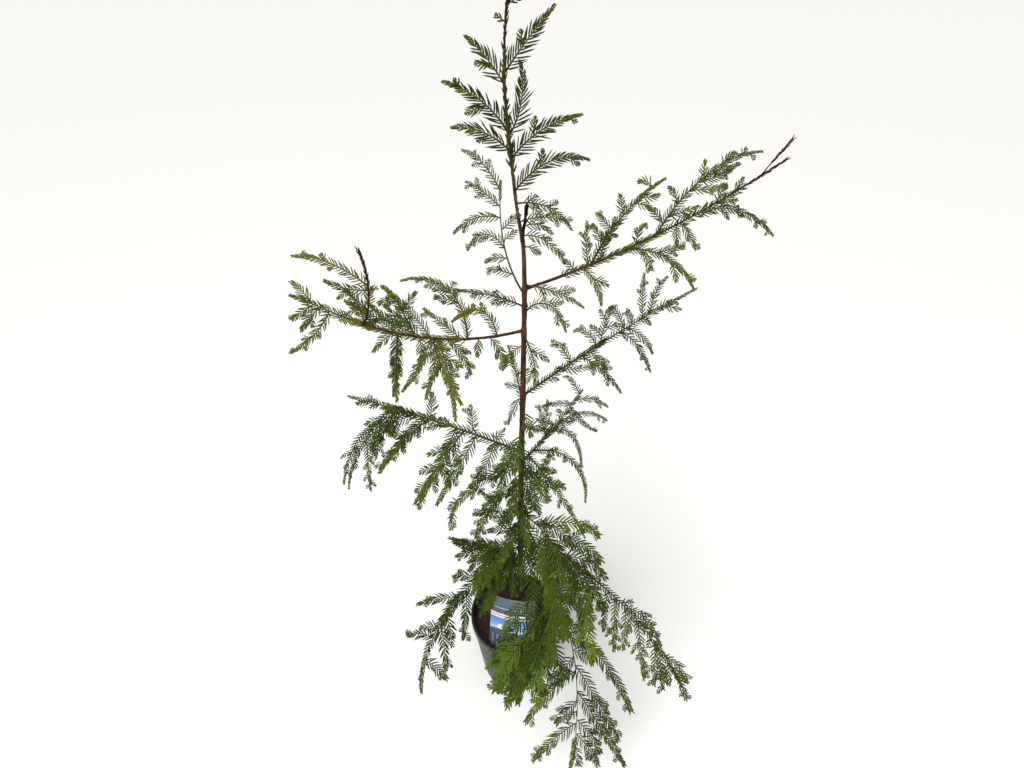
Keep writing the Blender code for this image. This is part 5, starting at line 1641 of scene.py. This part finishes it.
def scaleRows(curve, first, last, pitch, size, angles, shades, radius, rng):
    # Short leaves that lie along a shoot, all round it
    m = max(3, int(curveLength(curve) * (last - first) / pitch))
    draw = np.random.default_rng(rng.randrange(1 << 30))
    u = first + (last - first) * (np.arange(m) + draw.uniform(0, 0.8, m)) / m
    point, ahead, across, normal = (framesAt(curve, u)[:, k] for k in range(4))
    turn = np.arange(m) * scaleLeaf["turn"]
    out = across * np.cos(turn)[:, None] + normal * np.sin(turn)[:, None]
    sizes = size * draw.uniform(*scaleLeaf["lengths"], m)
    shade = draw.choice([shadeNames.index(s) for s in shades], m)
    angle = np.radians(draw.uniform(*angles, m))
    foot = point + out * radius * scaleLeaf["seat"]
    wide = sizes * scaleLeaf["width"]
    return layNeedles(foot, ahead, out, np.cross(ahead, out), angle, np.zeros(m), sizes, wide, shade, draw)


def needleArrays(rows, template):
    foot, away, across, lifted, size, wide, bend, shade = (np.concatenate(parts) for parts in zip(*rows))
    points, triangles = template
    x, y, z = points[:, 0], points[:, 1], points[:, 2]
    made = (
        foot[:, None]
        + away[:, None] * (y[None] * size[:, None])[:, :, None]
        + across[:, None] * (x[None] * wide[:, None])[:, :, None]
        + lifted[:, None] * (z[None] * wide[:, None])[:, :, None]
        + bend[:, None] * (y[None, :, None] ** 2)
    )
    faces = triangles[None] + (np.arange(len(foot)) * len(points))[:, None, None]
    return made.reshape(-1, 3), faces.reshape(-1, 3), np.repeat(shade, len(triangles))


def shootArrays(sprays, sides=5, ringStep=0.006):
    # Tapered shoots with closed ends, joined, and how old each point of them is
    points, faces, ages, start = [], [], [], 0
    j = np.arange(sides)
    beside, turn = (j + 1) % sides, 2 * np.pi * j / sides
    for spray in sprays:
        u = np.linspace(0, 1, max(3, round(spray["length"] / ringStep) + 1))
        frames = framesAt(spray["curve"], u)
        if spray["root"]:
            # a ring before the first, sunk into what carries the shoot
            before = frames[:1].copy()
            before[0, 0] -= before[0, 1] * spray["root"]
            frames, u = np.concatenate((before, frames)), np.concatenate(([0.0], u))
        rings = len(u)
        radius = spray["radii"][0] + (spray["radii"][1] - spray["radii"][0]) * u
        ring = frames[:, None, 2] * np.cos(turn)[:, None] + frames[:, None, 3] * np.sin(turn)[:, None]
        body = frames[:, None, 0] + ring * radius[:, None, None]
        tip = frames[-1, 0] + frames[-1, 1] * radius[-1]
        points += [body.reshape(-1, 3), frames[:1, 0], tip[None]]
        first = start + np.arange(rings - 1)[:, None] * sides
        a, b = first + j, first + beside
        c, d = b + sides, a + sides
        root, top, lastRing = start + rings * sides, start + rings * sides + 1, start + (rings - 1) * sides
        faces += [np.stack(corners, -1).reshape(-1, 3) for corners in (
            (a, b, c), (a, c, d), (np.full(sides, root), start + beside, start + j),
            (np.full(sides, top), lastRing + j, lastRing + beside))]
        age = spray["age"][0] + (spray["age"][1] - spray["age"][0]) * u
        ages += [np.repeat(age, sides), [age[0], age[-1]]]
        start += rings * sides + 2
    return np.concatenate(points), np.concatenate(faces), np.concatenate(ages)


def leaderRows(rng):
    # Scale leaves on the leader's own bark
    heights = np.linspace(*leaderScales["heights"], leaderScales["steps"])
    curve = np.array([(trunkFrame(h)[0], upward, (1.0, 0.0, 0.0), (0.0, 1.0, 0.0)) for h in heights])
    return [scaleRows(curve, *row, leaderScales["radius"], rng) for row in leaderScales["rows"]]


def buildRegion(region, nodes, sprays, template, rng):
    # One piece of needles and one of thin shoots, and how many triangles they have
    rows = [made for made in (combRows(spray, rng) for spray in sprays) if made]
    leaf = [scaleLeaf[key] for key in ("pitch", "length", "angles", "shades", "radius")]
    rows += [scaleRows(spray["curve"], *spray["scales"], *leaf, rng) for spray in sprays if spray["scales"]]
    if region == "leader":
        rows += leaderRows(rng)
    points, faces, shades = needleArrays(rows, template)
    mesh = meshOfTriangles(region + "Needles", points, faces, shades)
    placePiece(region + "Needles", mesh, [materials[n] for n in shadeNames], nodes)
    points, tubes, ages = shootArrays([s for s in sprays if not s["limb"]])
    mesh = meshOfTriangles(region + "Shoots", points, tubes, smooth=True)
    mesh.attributes.new("shootAge", "FLOAT", "POINT").data.foreach_set("value", ages.astype(np.float32))
    placePiece(region + "Shoots", mesh, [materials["shoot"]])
    print(region, len(sprays), "sprays,", len(faces) + len(tubes), "triangles")


def buildFoliage():
    template = needleTemplate()
    fillCrowd()
    grown = {region: [] for region in regions}
    for number, name in enumerate(masses):
        grown[regionOf[name]] += growMass(name, number)
    for number, name in enumerate(boughs):
        grown[boughRegions[name]] += clotheBough(name, number)
    for region, sprays in clotheTrunk().items():
        grown[region] += sprays
    for number, (region, row) in enumerate(regions.items()):
        nodes = ["foliage_" + mass for mass in row["masses"]]
        buildRegion(region, nodes, grown[region], template, random.Random(500 + number))


buildFoliage()
